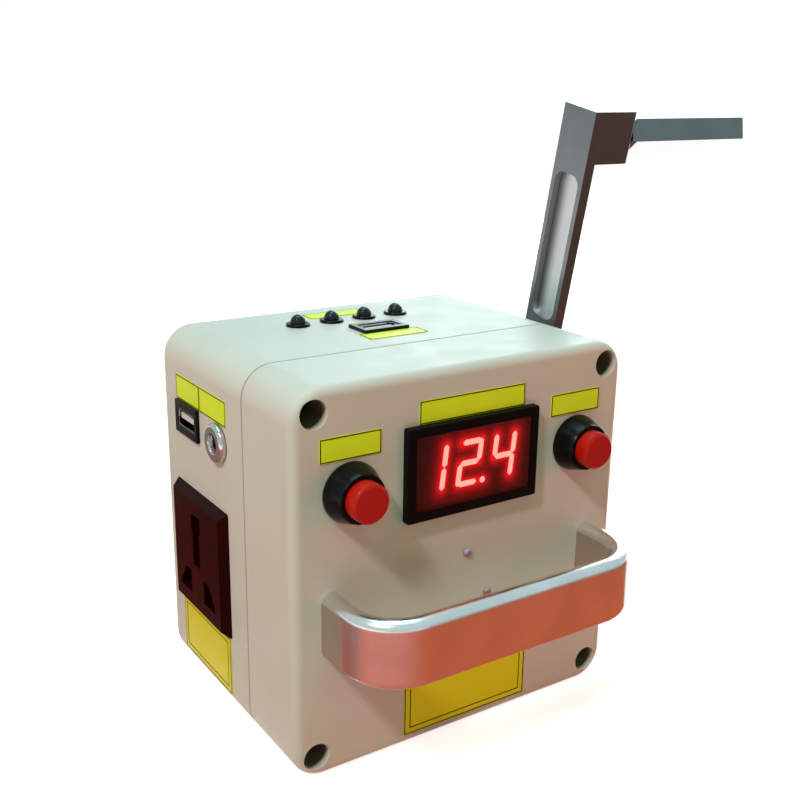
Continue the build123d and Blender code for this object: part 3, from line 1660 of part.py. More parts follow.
with BuildPart() as board_screws:
    for x, z in board_screw_places:
        turned(
            [
                (0, board_front_y - board_screw_head_height),
                (board_screw_head_radius - fine_bevel, board_front_y - board_screw_head_height),
                (board_screw_head_radius, board_front_y - board_screw_head_height + fine_bevel),
                (board_screw_head_radius, board_front_y),
                (board_screw_radius, board_front_y),
                (board_screw_radius, board_back_y + board_screw_reach),
                (0, board_back_y + board_screw_reach),
            ],
            (x, 0, z),
            Axis.Y,
        )
board_screws.part.label = "board_screws"
export_step(board_screws.part, "parts/board_screws.step")
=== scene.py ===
"""The hand crank generator's looks: materials, digits, sticker borders, contacts, springs, light, camera."""

import json
import math

import bmesh
import bpy
from mathutils import Matrix, Vector


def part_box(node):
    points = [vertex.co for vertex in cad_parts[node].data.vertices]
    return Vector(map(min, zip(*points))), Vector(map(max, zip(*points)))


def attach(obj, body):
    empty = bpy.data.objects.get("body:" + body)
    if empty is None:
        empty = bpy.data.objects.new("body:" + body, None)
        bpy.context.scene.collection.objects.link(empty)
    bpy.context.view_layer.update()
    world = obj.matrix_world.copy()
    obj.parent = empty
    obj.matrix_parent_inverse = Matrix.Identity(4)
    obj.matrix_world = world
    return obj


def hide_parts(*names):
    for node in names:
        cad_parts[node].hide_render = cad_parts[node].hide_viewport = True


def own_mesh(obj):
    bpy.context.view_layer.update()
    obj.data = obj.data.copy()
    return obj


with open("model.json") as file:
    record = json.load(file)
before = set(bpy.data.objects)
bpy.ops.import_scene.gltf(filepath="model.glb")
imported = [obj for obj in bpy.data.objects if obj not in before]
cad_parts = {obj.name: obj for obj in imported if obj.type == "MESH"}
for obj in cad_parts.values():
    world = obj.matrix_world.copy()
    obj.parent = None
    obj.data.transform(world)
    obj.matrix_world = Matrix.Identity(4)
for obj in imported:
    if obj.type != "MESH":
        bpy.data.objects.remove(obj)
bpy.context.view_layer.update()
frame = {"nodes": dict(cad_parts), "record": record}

MM = 0.001
SQUARE = ((0, 0), (1, 0), (1, 1), (0, 1))

# ---------------------------------------------------------------- sizes

# Camera, found from the box's edges in the photograph
photo_side_px = 800
focal_length_px = 1074.457
sensor_width_mm = 36
camera_place_mm = (-183.903, -284.187, 199.991)
camera_right = (0.835962, -0.548597, 0.014450)
camera_up = (0.147950, 0.250648, 0.956706)
camera_forward = (0.528468, 0.797632, -0.290697)

# The box, its screw wells and its seam
box_height = 120.0 * MM
front_y = -45.0 * MM
seam_y = -15.0 * MM
well_x = 52.8 * MM
well_z = 7.2 * MM
well_radius = 4.3 * MM
# Painted shade darkens the screw wells and the seam's groove within these sizes
well_dark_radius = well_radius * 1.03
well_dark_start = 0.6 * MM
well_dark_end = 3.0 * MM
seam_half_width = 0.5 * MM
seam_dark_half_width = seam_half_width * 0.3

# Painted shade darkens the sockets' metal this far inside the left and top faces
socket_dark_x = -60.3 * MM
socket_dark_z = 120.3 * MM

# The handle's legs carry a painted darker, reddish reflection from here to here in front of the case
leg_reflection_start = 21 * MM
leg_reflection_end = 14 * MM
handle_reflection_top = 57 * MM

# The two lower stickers are yellower, and darker with painted shade from the handle
yellow_label_top = 40 * MM
yellow_label_fade = 5 * MM
label_brightness = 0.12

# The pocket in the crank arm, machined bright, with painted shade across its floor and on its walls
hub_y = 6.5 * MM
hub_z = 98.0 * MM
arm_lean = math.radians(11.12)
pocket_x = (66.3 * MM, 69.3 * MM)
pocket_floor_x = 68.3 * MM
pocket_reach = (19.5 * MM, 72.1 * MM)
pocket_half_width = 5.9 * MM
pocket_fade = (0.5 * MM, 5.8 * MM)
arm_roughness = 0.2
pocket_roughness = 0.42

# Digits, over the bars of the display block
display_shift = -1.2 * MM
display_rise = 0.4 * MM
digit_pitch = 12.7 * MM
digit_width = 6.9 * MM
digit_height = 12.8 * MM
digit_slant = math.radians(6.5)
bar_width = 1.7 * MM
bar_gap = 0.2 * MM
bar_overrun = 0.7 * MM
bar_thickness = 0.08 * MM
dot_gap = 0.5 * MM
dot_radius = bar_width * 0.55
glow_front_gap = 0.17 * MM
digit_front_gap = 0.07 * MM
glow_step = 0.35 * MM
glow_reach = 4.2 * MM
digit_brightness = 5.0
glow_brightness = 1.6

# Sticker borders
border_inset = 0.1 * MM
border_width = 0.35 * MM
border_thickness = 0.02 * MM
inner_border_inset = 2.0 * MM
two_borders_above = 15 * MM

# Contacts on the USB tongues
contact_count = 4
contact_pitch = 2.2 * MM
contact_width = 1.1 * MM
contact_length = 7.0 * MM
contact_thickness = 0.1 * MM
contact_setback = 0.8 * MM

# Rounded edges: points this near are joined first, and edges that turn by more than the angle are rounded
weld_distance = 0.001 * MM
edge_angle = math.radians(35)
edge_segments = 2

# ---------------------------------------------------------------- node helpers


class Look:
    """A material with one Principled shader, and the few procedural textures that drive it."""

    def __init__(self, name, colour, roughness, **values):
        self.name = name
        self.material = bpy.data.materials.new(name)
        self.material.use_nodes = True
        self.tree = self.material.node_tree
        self.shader = self.tree.nodes["Principled BSDF"]
        self.colour = colour
        self.roughness = roughness
        self.shader.inputs["Base Color"].default_value = (*colour, 1)
        self.shader.inputs["Roughness"].default_value = roughness
        for socket, value in values.items():
            self.shader.inputs[socket.replace("_", " ")].default_value = value
        self.place = self.add("ShaderNodeTexCoord").outputs["Object"]
        self.normal = None

    def add(self, kind, **values):
        node = self.tree.nodes.new(kind)
        for name, value in values.items():
            setattr(node, name, value)
        return node

    def link(self, start, end):
        self.tree.links.new(start, end)

    def noise(self, size, detail=3, stretch=(1, 1, 1), turn=(0, 0, 0)):
        """Noise whose blobs are about size metres, drawn out along an axis by its stretch."""
        mapping = self.add("ShaderNodeMapping")
        mapping.inputs["Rotation"].default_value = turn
        mapping.inputs["Scale"].default_value = [1 / (size * s) for s in stretch]
        texture = self.add("ShaderNodeTexNoise")
        texture.inputs["Scale"].default_value = 1
        texture.inputs["Detail"].default_value = detail
        self.link(self.place, mapping.inputs["Vector"])
        self.link(mapping.outputs["Vector"], texture.inputs["Vector"])
        return texture.outputs["Fac"]

    def ramp(self, factor, low, high, first, last):
        """Runs from first to last while factor goes from low to high."""
        node = self.add("ShaderNodeMapRange")
        node.inputs["From Min"].default_value = low
        node.inputs["From Max"].default_value = high
        node.inputs["To Min"].default_value = first
        node.inputs["To Max"].default_value = last
        self.link(factor, node.inputs["Value"])
        return node.outputs["Result"]

    def mix(self, factor, first, second):
        """Colour mix; each of first and second is a colour or an output."""
        node = self.add("ShaderNodeMix", data_type="RGBA")
        self.link(factor, node.inputs["Factor"])
        for value, socket in ((first, node.inputs[6]), (second, node.inputs[7])):
            if isinstance(value, bpy.types.NodeSocket):
                self.link(value, socket)
            else:
                socket.default_value = (*value, 1)
        return node.outputs[2]

    def calc(self, operation, *values):
        """Result of one sum on numbers and outputs."""
        node = self.add("ShaderNodeMath", operation=operation)
        for value, socket in zip(values, node.inputs):
            if isinstance(value, bpy.types.NodeSocket):
                self.link(value, socket)
            else:
                socket.default_value = value
        return node.outputs["Value"]

    def axes(self):
        node = self.add("ShaderNodeSeparateXYZ")
        self.link(self.place, node.inputs["Vector"])
        return node.outputs["X"], node.outputs["Y"], node.outputs["Z"]

    def within(self, value, low, high):
        """1 where value is between low and high, else 0."""
        above = self.calc("GREATER_THAN", value, low)
        below = self.calc("LESS_THAN", value, high)
        return self.calc("MULTIPLY", above, below)

    def paint(self, output):
        self.link(output, self.shader.inputs["Base Color"])
        return self

    def gloss(self, output):
        self.link(output, self.shader.inputs["Roughness"])
        return self

    def bump(self, height, depth, strength=1.0):
        node = self.add("ShaderNodeBump")
        node.inputs["Strength"].default_value = strength
        node.inputs["Distance"].default_value = depth
        self.link(height, node.inputs["Height"])
        if self.normal:
            self.link(self.normal, node.inputs["Normal"])
        self.normal = node.outputs["Normal"]
        self.link(self.normal, self.shader.inputs["Normal"])
        return self


def shade(colour, factor):
    return tuple(min(1, c * factor) for c in colour)


def plastic(name, colour, roughness, grain=0.5 * MM, grain_depth=0.01 * MM, spread=0.05, **values):
    """Moulded plastic: fine grain, faint uneven colour, and gloss worn here and there."""
    look = Look(name, colour, roughness, **values)
    patches = look.noise(30 * MM, detail=4)
    darker, lighter = shade(colour, 1 - spread), shade(colour, 1 + spread)
    look.coat = look.mix(look.ramp(patches, 0.35, 0.65, 0, 1), darker, lighter)
    look.paint(look.coat)
    look.gloss(look.ramp(look.noise(9 * MM, detail=5), 0.3, 0.7, roughness * 0.85, roughness * 1.2))
    look.bump(look.noise(grain, detail=2), grain_depth)
    return look


def metal(
    name, colour, roughness, stretch=(1, 1, 1), turn=(0, 0, 0), line=0.12 * MM, depth=0.0004 * MM, **values
):
    """Metal with fine machining lines, drawn out along the axis that stretch names."""
    look = Look(name, colour, roughness, Metallic=1, **values)
    lines = look.noise(line, detail=2, stretch=stretch, turn=turn)
    blotches = look.noise(14 * MM, detail=5)
    look.coat = look.mix(look.ramp(blotches, 0.35, 0.7, 0, 1), shade(colour, 0.93), shade(colour, 1.05))
    look.paint(look.coat)
    look.gloss(look.ramp(lines, 0.3, 0.7, roughness * 0.9, roughness * 1.12))
    look.bump(lines, depth)
    return look


# ---------------------------------------------------------------- materials, one for each finish


def case_plastic():
    """Light grey plastic, with painted shade down in the screw wells and in the groove of the seam."""
    look = plastic(
        "case_plastic",
        (0.66, 0.645, 0.60),
        0.45,
        grain=0.45 * MM,
        grain_depth=0.012 * MM,
        spread=0.02,
        Specular_IOR_Level=0.3,
    )
    scuffs = look.noise(2.2 * MM, detail=6, stretch=(3.5, 1, 1), turn=(0.3, 0.2, 0.7))
    look.bump(look.ramp(scuffs, 0.66, 0.72, 0, 1), 0.004 * MM)
    x, y, z = look.axes()
    across = look.calc("SUBTRACT", look.calc("ABSOLUTE", x), well_x)
    from_middle = look.calc("ABSOLUTE", look.calc("SUBTRACT", z, box_height / 2))
    up = look.calc("SUBTRACT", from_middle, box_height / 2 - well_z)
    squares = look.calc("ADD", look.calc("MULTIPLY", across, across), look.calc("MULTIPLY", up, up))
    in_well = look.calc("LESS_THAN", look.calc("SQRT", squares), well_dark_radius)
    depth = look.ramp(y, front_y + well_dark_start, front_y + well_dark_end, 0, 1)
    in_cover = look.calc("LESS_THAN", y, seam_y)
    well_shade = look.calc("MULTIPLY", look.calc("MULTIPLY", in_well, in_cover), depth)
    from_seam = look.calc("ABSOLUTE", look.calc("SUBTRACT", y, seam_y))
    seam_shade = look.ramp(from_seam, seam_dark_half_width, seam_half_width, 0.75, 0)
    # Painted shade: the wells and the seam's groove are mixed towards a dark brown shade colour
    coat_with_painted_shade = look.mix(look.calc("MAXIMUM", well_shade, seam_shade), look.coat, (0.17, 0.12, 0.09))
    look.paint(coat_with_painted_shade)
    return look


def meter_lens():
    """Clear red lens that hardly mirrors, with faint smears."""
    look = Look(
        "meter_lens", (0.52, 0.12, 0.12), 0.03, Transmission_Weight=1, IOR=1.3, Specular_IOR_Level=0.01
    )
    look.gloss(look.ramp(look.noise(6 * MM, detail=6), 0.4, 0.8, 0.02, 0.09))
    look.bump(look.noise(5 * MM), 0.002 * MM)
    return look


def label_vinyl():
    """Fluorescent vinyl, so a little brighter than the light that falls on it; the two lower stickers are
    yellower, and darker with painted shade from the handle.
    """
    look = plastic(
        "label_vinyl",
        (0.66, 0.80, 0.015),
        0.38,
        grain=0.3 * MM,
        grain_depth=0.003 * MM,
        spread=0.04,
        Specular_IOR_Level=0.2,
    )
    # Below this height the stickers are yellower, and darker in colour and glow as painted shade from the
    # handle
    low_down = look.ramp(look.axes()[2], yellow_label_top, yellow_label_top + yellow_label_fade, 1, 0)
    look.paint(look.mix(low_down, look.coat, (0.70, 0.63, 0.008)))
    glow = look.mix(low_down, (0.62, 0.78, 0.01), (0.62, 0.52, 0.005))
    look.link(glow, look.shader.inputs["Emission Color"])
    look.shader.inputs["Emission Strength"].default_value = label_brightness
    return look


def crank_metal():
    """Dark satin metal; the pocket along the arm is machined bright, with painted shade on its walls and
    fading in across its floor.
    """
    dark = (0.185, 0.20, 0.205)
    look = metal("crank_metal", dark, arm_roughness, stretch=(1, 1, 40), turn=(-arm_lean, 0, 0))
    x, y, z = look.axes()
    back = look.calc("SUBTRACT", y, hub_y)
    up = look.calc("SUBTRACT", z, hub_z)
    sine, cosine = math.sin(arm_lean), math.cos(arm_lean)
    along = look.calc("SUBTRACT", look.calc("MULTIPLY", up, cosine), look.calc("MULTIPLY", back, sine))
    across = look.calc("ADD", look.calc("MULTIPLY", up, sine), look.calc("MULTIPLY", back, cosine))
    in_pocket = look.calc("MULTIPLY", look.within(x, *pocket_x), look.within(along, *pocket_reach))
    in_pocket = look.calc("MULTIPLY", in_pocket, look.within(across, -pocket_half_width, pocket_half_width))
    on_floor = look.calc("GREATER_THAN", x, pocket_floor_x)
    # Painted shade: the pocket floor darkens across its width, and the walls are painted darker than the
    # floor
    floor = look.mix(look.ramp(across, *pocket_fade, 0, 1), (0.66, 0.67, 0.67), (0.20, 0.22, 0.23))
    pocket = look.mix(on_floor, (0.42, 0.43, 0.43), floor)
    look.paint(look.mix(in_pocket, look.coat, pocket))
    look.gloss(look.ramp(in_pocket, 0, 1, arm_roughness, pocket_roughness))
    return look


def handle_metal():
    """Satin aluminium, with a painted darker, reddish reflection along the legs that go into the case."""
    look = metal("anodised_aluminium", (0.80, 0.81, 0.82), 0.22, stretch=(40, 40, 1))
    _, y, z = look.axes()
    leg_painted_reflection = look.ramp(y, front_y - leg_reflection_start, front_y - leg_reflection_end, 0, 1)
    below_top = look.calc("LESS_THAN", z, handle_reflection_top)
    # Painted reflection: the legs near the case, below this height, are tinted darker and reddish
    look.paint(look.mix(look.calc("MULTIPLY", leg_painted_reflection, below_top), look.coat, (0.60, 0.49, 0.45)))
    return look


def bright_chrome():
    """Chrome with painted shade down inside the sockets."""
    look = metal("bright_chrome", (0.62, 0.615, 0.605), 0.16, depth=0.0002 * MM)
    x, _, z = look.axes()
    right_of_face = look.calc("GREATER_THAN", x, socket_dark_x)
    below_top = look.calc("LESS_THAN", z, socket_dark_z)
    inside = look.calc("MULTIPLY", right_of_face, below_top)
    # Painted shade: the chrome inside the case is mixed towards near black
    look.paint(look.mix(inside, look.coat, (0.09, 0.085, 0.08)))
    return look


def circuit_board():
    """Green lacquer with raised tracks."""
    look = plastic("circuit_board", (0.02, 0.16, 0.06), 0.3, spread=0.05)
    tracks = look.noise(3 * MM, detail=0, stretch=(1, 1, 6))
    look.bump(look.ramp(tracks, 0.5, 0.52, 0, 1), 0.03 * MM)
    return look


all_looks = (
    case_plastic(),
    plastic("black_plastic", (0.0025, 0.0035, 0.0045), 0.24, spread=0.15, Specular_IOR_Level=0.14),
    plastic("meter_plastic", (0.003, 0.0025, 0.0025), 0.35, spread=0.15, Specular_IOR_Level=0.08),
    plastic("socket_plastic", (0.017, 0.0010, 0.0010), 0.34, spread=0.2, Specular_IOR_Level=0.05),
    plastic(
        "red_plastic",
        (0.47, 0.006, 0.002),
        0.32,
        grain=0.6 * MM,
        grain_depth=0.0008 * MM,
        Specular_IOR_Level=0.25,
    ),
    meter_lens(),
    plastic("display_block", (0.03, 0.004, 0.004), 0.5, spread=0.1),
    label_vinyl(),
    handle_metal(),
    crank_metal(),
    metal("dark_metal", (0.05, 0.045, 0.045), 0.35),
    metal("plate_aluminium", (0.66, 0.67, 0.68), 0.4, stretch=(1, 1, 20)),
    metal("steel", (0.50, 0.50, 0.50), 0.32),
    bright_chrome(),
    metal("brass", (0.66, 0.44, 0.14), 0.3),
    plastic("gear_nylon", (0.74, 0.72, 0.62), 0.45, Subsurface_Weight=0.1, Subsurface_Scale=2 * MM),
    plastic("seal_rubber", (0.02, 0.02, 0.02), 0.75),
    plastic("led_epoxy", (0.010, 0.014, 0.014), 0.12, grain_depth=0.001 * MM, Specular_IOR_Level=0.3),
    plastic("white_plastic", (0.72, 0.71, 0.67), 0.4),
    circuit_board(),
    plastic("ferrite", (0.025, 0.025, 0.028), 0.6),
    metal("motor_steel", (0.45, 0.45, 0.46), 0.35, stretch=(1, 30, 30)),
    plastic("cell_wrap", (0.012, 0.07, 0.30), 0.25),
)
looks = {look.name: look for look in all_looks}

slot_of_node = {row["node"]: row["material_slot"] for row in frame["record"]["subparts"]}
for node, piece in frame["nodes"].items():
    piece.data.materials.clear()
    piece.data.materials.append(looks[slot_of_node[node]].material)

# ---------------------------------------------------------------- rounded edges on the solids

# In millimetres
edge_radius = {
    "front_cover": 0.35,
    "rear_housing": 0.35,
    "crank_arm": 0.4,
    "grip_block": 0.3,
    "hand_grip": 0.35,
    "grip_collar": 0.2,
    "meter_bezel": 0.2,
    "ac_socket_face": 0.25,
    "usb_frames": 0.25,
    "usb_shells": 0.06,
    "usb_tongues": 0.08,
    "light_button_bezel": 0.3,
    "power_button_bezel": 0.3,
    "light_button_cap": 0.4,
    "power_button_cap": 0.4,
    "dc_jack_barrel": 0.2,
    "led_holders": 0.1,
    "arm_screw": 0.15,
    "cover_screws": 0.15,
    "module_screws": 0.1,
    "wall_bush": 0.2,
    "gearbox_screws": 0.1,
}
for node, radius in edge_radius.items():
    piece = frame["nodes"][node]
    weld = piece.modifiers.new("weld", "WELD")
    weld.merge_threshold = weld_distance
    bevel = piece.modifiers.new("rounded_edges", "BEVEL")
    bevel.width = radius * MM
    bevel.segments = edge_segments
    bevel.limit_method = "ANGLE"
    bevel.angle_limit = edge_angle
    bevel.use_clamp_overlap = True
    bevel.harden_normals = True

# ---------------------------------------------------------------- mesh helpers


def mesh_piece(name, build, slot, body="case", look=None):
    """A new mesh from build(mesh), with its finish and the body that carries it."""
    data = bpy.data.meshes.new(name)
    mesh = bmesh.new()
    build(mesh)
    bmesh.ops.recalc_face_normals(mesh, faces=mesh.faces)
    mesh.to_mesh(data)
    mesh.free()
    piece = bpy.data.objects.new(name, data)
    bpy.context.scene.collection.objects.link(piece)
    data.materials.append((look or looks[slot]).material)
    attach(piece, body)
    return piece


def prism(mesh, outline, offset):
    """Adds a closed prism: outline is a list of points, offset the way to its other face."""
    near = [mesh.verts.new(p) for p in outline]
    far = [mesh.verts.new(Vector(p) + Vector(offset)) for p in outline]
    mesh.faces.new(near)
    mesh.faces.new(reversed(far))
    for i in range(len(near)):
        j = (i + 1) % len(near)
        mesh.faces.new((near[i], near[j], far[j], far[i]))


def solids(node):
    """Lowest and highest corner of each separate solid of a node."""
    data = frame["nodes"][node].data
    spot = {}
    owner = []
    for v in data.vertices:
        key = tuple(round(c, 6) for c in v.co)
        owner.append(spot.setdefault(key, len(spot)))
    parent = list(range(len(spot)))

    def root(i):
        while parent[i] != i:
            i = parent[i]
        return i

    for face in data.polygons:
        first = root(owner[face.vertices[0]])
        for v in face.vertices[1:]:
            parent[root(owner[v])] = first
    groups = {}
    for v in data.vertices:
        groups.setdefault(root(owner[v.index]), []).append(v.co)
    return [
        tuple(Vector([end(p[k] for p in points) for k in range(3)]) for end in (min, max))
        for points in groups.values()
    ]


# ---------------------------------------------------------------- lit digits

window_low, window_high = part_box("meter_window")
display_centre = (window_low + window_high) / 2 + Vector((display_shift, 0, display_rise))
display_back_y = window_high.y

# Bars that are lit in each digit, as (across, up, upright): where the bar's middle is, in half widths and
# quarter heights of the digit. The digits are -1, 0 and 1
half_w = digit_width / 2
quarter_h = digit_height / 4
TOP, MIDDLE, BOTTOM = (0, 2, False), (0, 0, False), (0, -2, False)
UPPER_LEFT, UPPER_RIGHT = (-1, 1, True), (1, 1, True)
LOWER_LEFT, LOWER_RIGHT = (-1, -1, True), (1, -1, True)
lit_bars = {
    -1: (UPPER_RIGHT, LOWER_RIGHT),
    0: (TOP, UPPER_RIGHT, MIDDLE, LOWER_LEFT, BOTTOM),
    1: (UPPER_LEFT, UPPER_RIGHT, MIDDLE, LOWER_RIGHT),
}
lit_dot_column = 0


def slanted(column, x, z):
    """Place on the display, in X and Z, of a point of a digit."""
    return (
        display_centre.x + column * digit_pitch + x + z * math.tan(digit_slant),
        display_centre.z + z,
    )


def bar_outline(column, across, up, upright):
    half_length = (digit_height / 2 - bar_gap) / 2 if upright else (digit_width - bar_gap) / 2
    h = bar_width / 2
    corners = [
        (-half_length, 0),
        (h - half_length, h),
        (half_length - h, h),
        (half_length, 0),
        (half_length - h, -h),
        (h - half_length, -h),
    ]
    if upright:
        corners = [(b, a + (bar_overrun if a > 0 else 0)) for a, b in corners]
        if up < 0:
            corners = [(a, -b) for a, b in corners]
    return [slanted(column, across * half_w + a, up * quarter_h + b) for a, b in corners]


dot_centre = slanted(lit_dot_column, half_w + bar_width + dot_gap, -digit_height / 2)


def lit_digits(mesh):
    back = display_back_y + digit_front_gap
    for column, bars in lit_bars.items():
        for bar in bars:
            outline = [(x, back, z) for x, z in bar_outline(column, *bar)]
            prism(mesh, outline, (0, bar_thickness, 0))
    sides = 24
    ring = [2 * math.pi * i / sides for i in range(sides)]
    x, z = dot_centre
    outline = [(x + dot_radius * math.cos(a), back, z + dot_radius * math.sin(a)) for a in ring]
    prism(mesh, outline, (0, bar_thickness, 0))


digit_look = Look("lit_digits", (0.9, 0.3, 0.2), 0.4)
core = digit_look.ramp(digit_look.noise(1.2 * MM), 0.3, 0.7, 0, 1)
lit_colour = digit_look.mix(core, (1.0, 0.74, 0.56), (1.0, 0.86, 0.70))
digit_look.link(lit_colour, digit_look.shader.inputs["Emission Color"])
digit_look.shader.inputs["Emission Strength"].default_value = digit_brightness
mesh_piece("lit_digits", lit_digits, "display_block", look=digit_look)

# Red light that spreads round the digits under the window
light_lines = []
for column, bars in lit_bars.items():
    for across, up, upright in bars:
        reach = quarter_h if upright else half_w
        ends = ((0, -reach), (0, reach)) if upright else ((-reach, 0), (reach, 0))
        right, above = across * half_w, up * quarter_h
        light_lines.append([Vector(slanted(column, right + a, above + b)) for a, b in ends])
light_lines.append([Vector(dot_centre), Vector(dot_centre)])


def distance_to_line(point, line):
    start, end = line
    along = end - start
    share = 0 if along.length == 0 else max(0, min(1, (point - start).dot(along) / along.length_squared))
    return (point - start - along * share).length


def glow_at(x, z):
    """How brightly the red light shows at a place on the display, from 0 to 1."""
    nearest = min(distance_to_line(Vector((x, z)), line) for line in light_lines)
    return math.exp(-max(0, nearest - bar_width / 2) / (glow_reach / 3))


glow_y = display_back_y + glow_front_gap
window_width = window_high.x - window_low.x
window_height = window_high.z - window_low.z
glow_columns = round(window_width / glow_step)
glow_rows = round(window_height / glow_step)


def glow_sheet(mesh):
    rows = []
    xs = [window_low.x + window_width * i / glow_columns for i in range(glow_columns + 1)]
    for j in range(glow_rows + 1):
        z = window_low.z + window_height * j / glow_rows
        rows.append([mesh.verts.new((x, glow_y, z)) for x in xs])
    for low, high in zip(rows, rows[1:]):
        for i in range(glow_columns):
            mesh.faces.new((low[i], low[i + 1], high[i + 1], high[i]))


glow_look = Look("display_glow", (0.003, 0.0005, 0.0005), 0.6, Specular_IOR_Level=0)
amount = glow_look.add("ShaderNodeAttribute", attribute_name="glow").outputs["Fac"]
speckle = glow_look.ramp(glow_look.noise(0.8 * MM), 0.3, 0.7, 0.9, 1.1)
spread_light = glow_look.calc("MULTIPLY", amount, speckle)
glow_colour = glow_look.mix(spread_light, (0.012, 0.0, 0.0), (1.0, 0.035, 0.06))
glow_look.link(glow_colour, glow_look.shader.inputs["Emission Color"])
glow_look.shader.inputs["Emission Strength"].default_value = glow_brightness
glow = mesh_piece("display_glow", glow_sheet, "display_block", look=glow_look)
levels = glow.data.attributes.new("glow", "FLOAT", "POINT")
for vertex in glow.data.vertices:
    levels.data[vertex.index].value = glow_at(vertex.co.x, vertex.co.z)

# ---------------------------------------------------------------- sticker borders

border_look = plastic("sticker_ink", (0.03, 0.045, 0.008), 0.5, spread=0.2)


def border_ring(mesh, low, high, thin, outward, inset):
    """Adds a thin frame on the outer face of a sticker; thin is the axis of its thickness."""
    across, up = [k for k in range(3) if k != thin]
    face = high[thin] if outward > 0 else low[thin]
    loops = []
    for shrink in (inset, inset + border_width):
        corners = []
        for a, b in SQUARE:
            point = [0, 0, 0]
            point[across] = high[across] - shrink if a else low[across] + shrink
            point[up] = high[up] - shrink if b else low[up] + shrink
            point[thin] = face + outward * border_thickness
            corners.append(mesh.verts.new(point))
        loops.append(corners)
    outer, inner = loops
    for i in range(4):
        j = (i + 1) % 4
        mesh.faces.new((outer[i], outer[j], inner[j], inner[i]))


def borders_of(node, thin, outward):
    def build(mesh):
        for low, high in solids(node):
            border_ring(mesh, low, high, thin, outward, border_inset)
            if min(s for k, s in enumerate(high - low) if k != thin) > two_borders_above:
                border_ring(mesh, low, high, thin, outward, inner_border_inset)
        bmesh.ops.solidify(mesh, geom=mesh.faces[:], thickness=border_thickness * 0.9)

    return build


for node, thin, outward in (("front_labels", 1, -1), ("side_labels", 0, -1), ("top_labels", 2, 1)):
    mesh_piece(node + "_border", borders_of(node, thin, outward), "label_vinyl", look=border_look)

# ---------------------------------------------------------------- contacts on the USB tongues


def tongue_contacts(mesh):
    for low, high in solids("usb_tongues"):
        sizes = high - low
        deep = max(range(3), key=lambda k: sizes[k])
        thin = min(range(3), key=lambda k: sizes[k])
        wide = 3 - deep - thin
        for i in range(contact_count):
            middle = (low[wide] + high[wide]) / 2 + (i - (contact_count - 1) / 2) * contact_pitch
            mouth = low[deep] if deep == 0 else high[deep]
            inward = 1 if deep == 0 else -1
            outline = []
            for a, b in SQUARE:
                point = [0, 0, 0]
                point[wide] = middle + (a - 0.5) * contact_width
                point[deep] = mouth + inward * (contact_setback + b * contact_length)
                point[thin] = low[thin]
                outline.append(point)
            offset = [0, 0, 0]
            offset[thin] = -contact_thickness
            prism(mesh, outline, offset)


mesh_piece("usb_contacts", tongue_contacts, "brass")

# ---------------------------------------------------------------- springs under the buttons, each a mesh of its own

for button in ("light_button", "power_button"):
    node = frame["nodes"][button + "_spring"]
    spring = mesh_piece(button + "_coil", lambda mesh: mesh.from_mesh(node.data), "steel")
    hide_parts(button + "_spring")
    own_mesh(spring)

# ---------------------------------------------------------------- floor, light and camera


def light_path_factor(tree):
    """1 for rays from the camera and for those that a mirror or glass sends on, else 0."""
    path = tree.nodes.new("ShaderNodeLightPath")
    total = path.outputs["Is Camera Ray"]
    for name in ("Is Glossy Ray", "Is Transmission Ray"):
        node = tree.nodes.new("ShaderNodeMath")
        node.operation = "MAXIMUM"
        tree.links.new(total, node.inputs[0])
        tree.links.new(path.outputs[name], node.inputs[1])
        total = node.outputs["Value"]
    return total


fill_strength = 0.03
mirrored_sky_colour = (0.56, 0.70, 0.71)
world = bpy.data.worlds.new("studio")
bpy.context.scene.world = world
world.use_nodes = True
tree = world.node_tree
tree.nodes.clear()
fill = tree.nodes.new("ShaderNodeBackground")
fill.inputs["Color"].default_value = (1.0, 1.0, 1.0, 1)
fill.inputs["Strength"].default_value = fill_strength
white = tree.nodes.new("ShaderNodeBackground")
white.inputs["Strength"].default_value = 1
mirrored_sky = tree.nodes.new("ShaderNodeMix")
mirrored_sky.data_type = "RGBA"
mirrored_sky.inputs[6].default_value = (*mirrored_sky_colour, 1)
mirrored_sky.inputs[7].default_value = (1, 1, 1, 1)
sky_path = tree.nodes.new("ShaderNodeLightPath")
tree.links.new(sky_path.outputs["Is Camera Ray"], mirrored_sky.inputs["Factor"])
tree.links.new(mirrored_sky.outputs[2], white.inputs["Color"])
blend = tree.nodes.new("ShaderNodeMixShader")
tree.links.new(light_path_factor(tree), blend.inputs["Fac"])
tree.links.new(fill.outputs["Background"], blend.inputs[1])
tree.links.new(white.outputs["Background"], blend.inputs[2])
output = tree.nodes.new("ShaderNodeOutputWorld")
tree.links.new(blend.outputs["Shader"], output.inputs["Surface"])


def level(x_span, y_span, height):
    """Corners of a level rectangle."""
    return [(x_span[a], y_span[b], height) for a, b in SQUARE]


floor_span = (-6.0, 6.0)
floor_fade = (0.15, 1.0)
floor_data = bpy.data.meshes.new("floor")
floor_data.from_pydata(level(floor_span, floor_span, 0), [], [(0, 1, 2, 3)])
floor = bpy.data.objects.new("floor", floor_data)
bpy.context.scene.collection.objects.link(floor)
floor_look = Look("floor", (0.80, 0.53, 0.48), 0.9, Specular_IOR_Level=0)
floor_look.link(light_path_factor(floor_look.tree), floor_look.shader.inputs["Emission Strength"])
from_middle = floor_look.add("ShaderNodeVectorMath", operation="LENGTH")
floor_look.link(floor_look.place, from_middle.inputs[0])
brightness = floor_look.ramp(from_middle.outputs["Value"], *floor_fade, 0, 1)
shown_floor = floor_look.mix(brightness, (0.78, 0.78, 0.78), (1, 1, 1))
floor_look.link(shown_floor, floor_look.shader.inputs["Emission Color"])
floor_data.materials.append(floor_look.material)


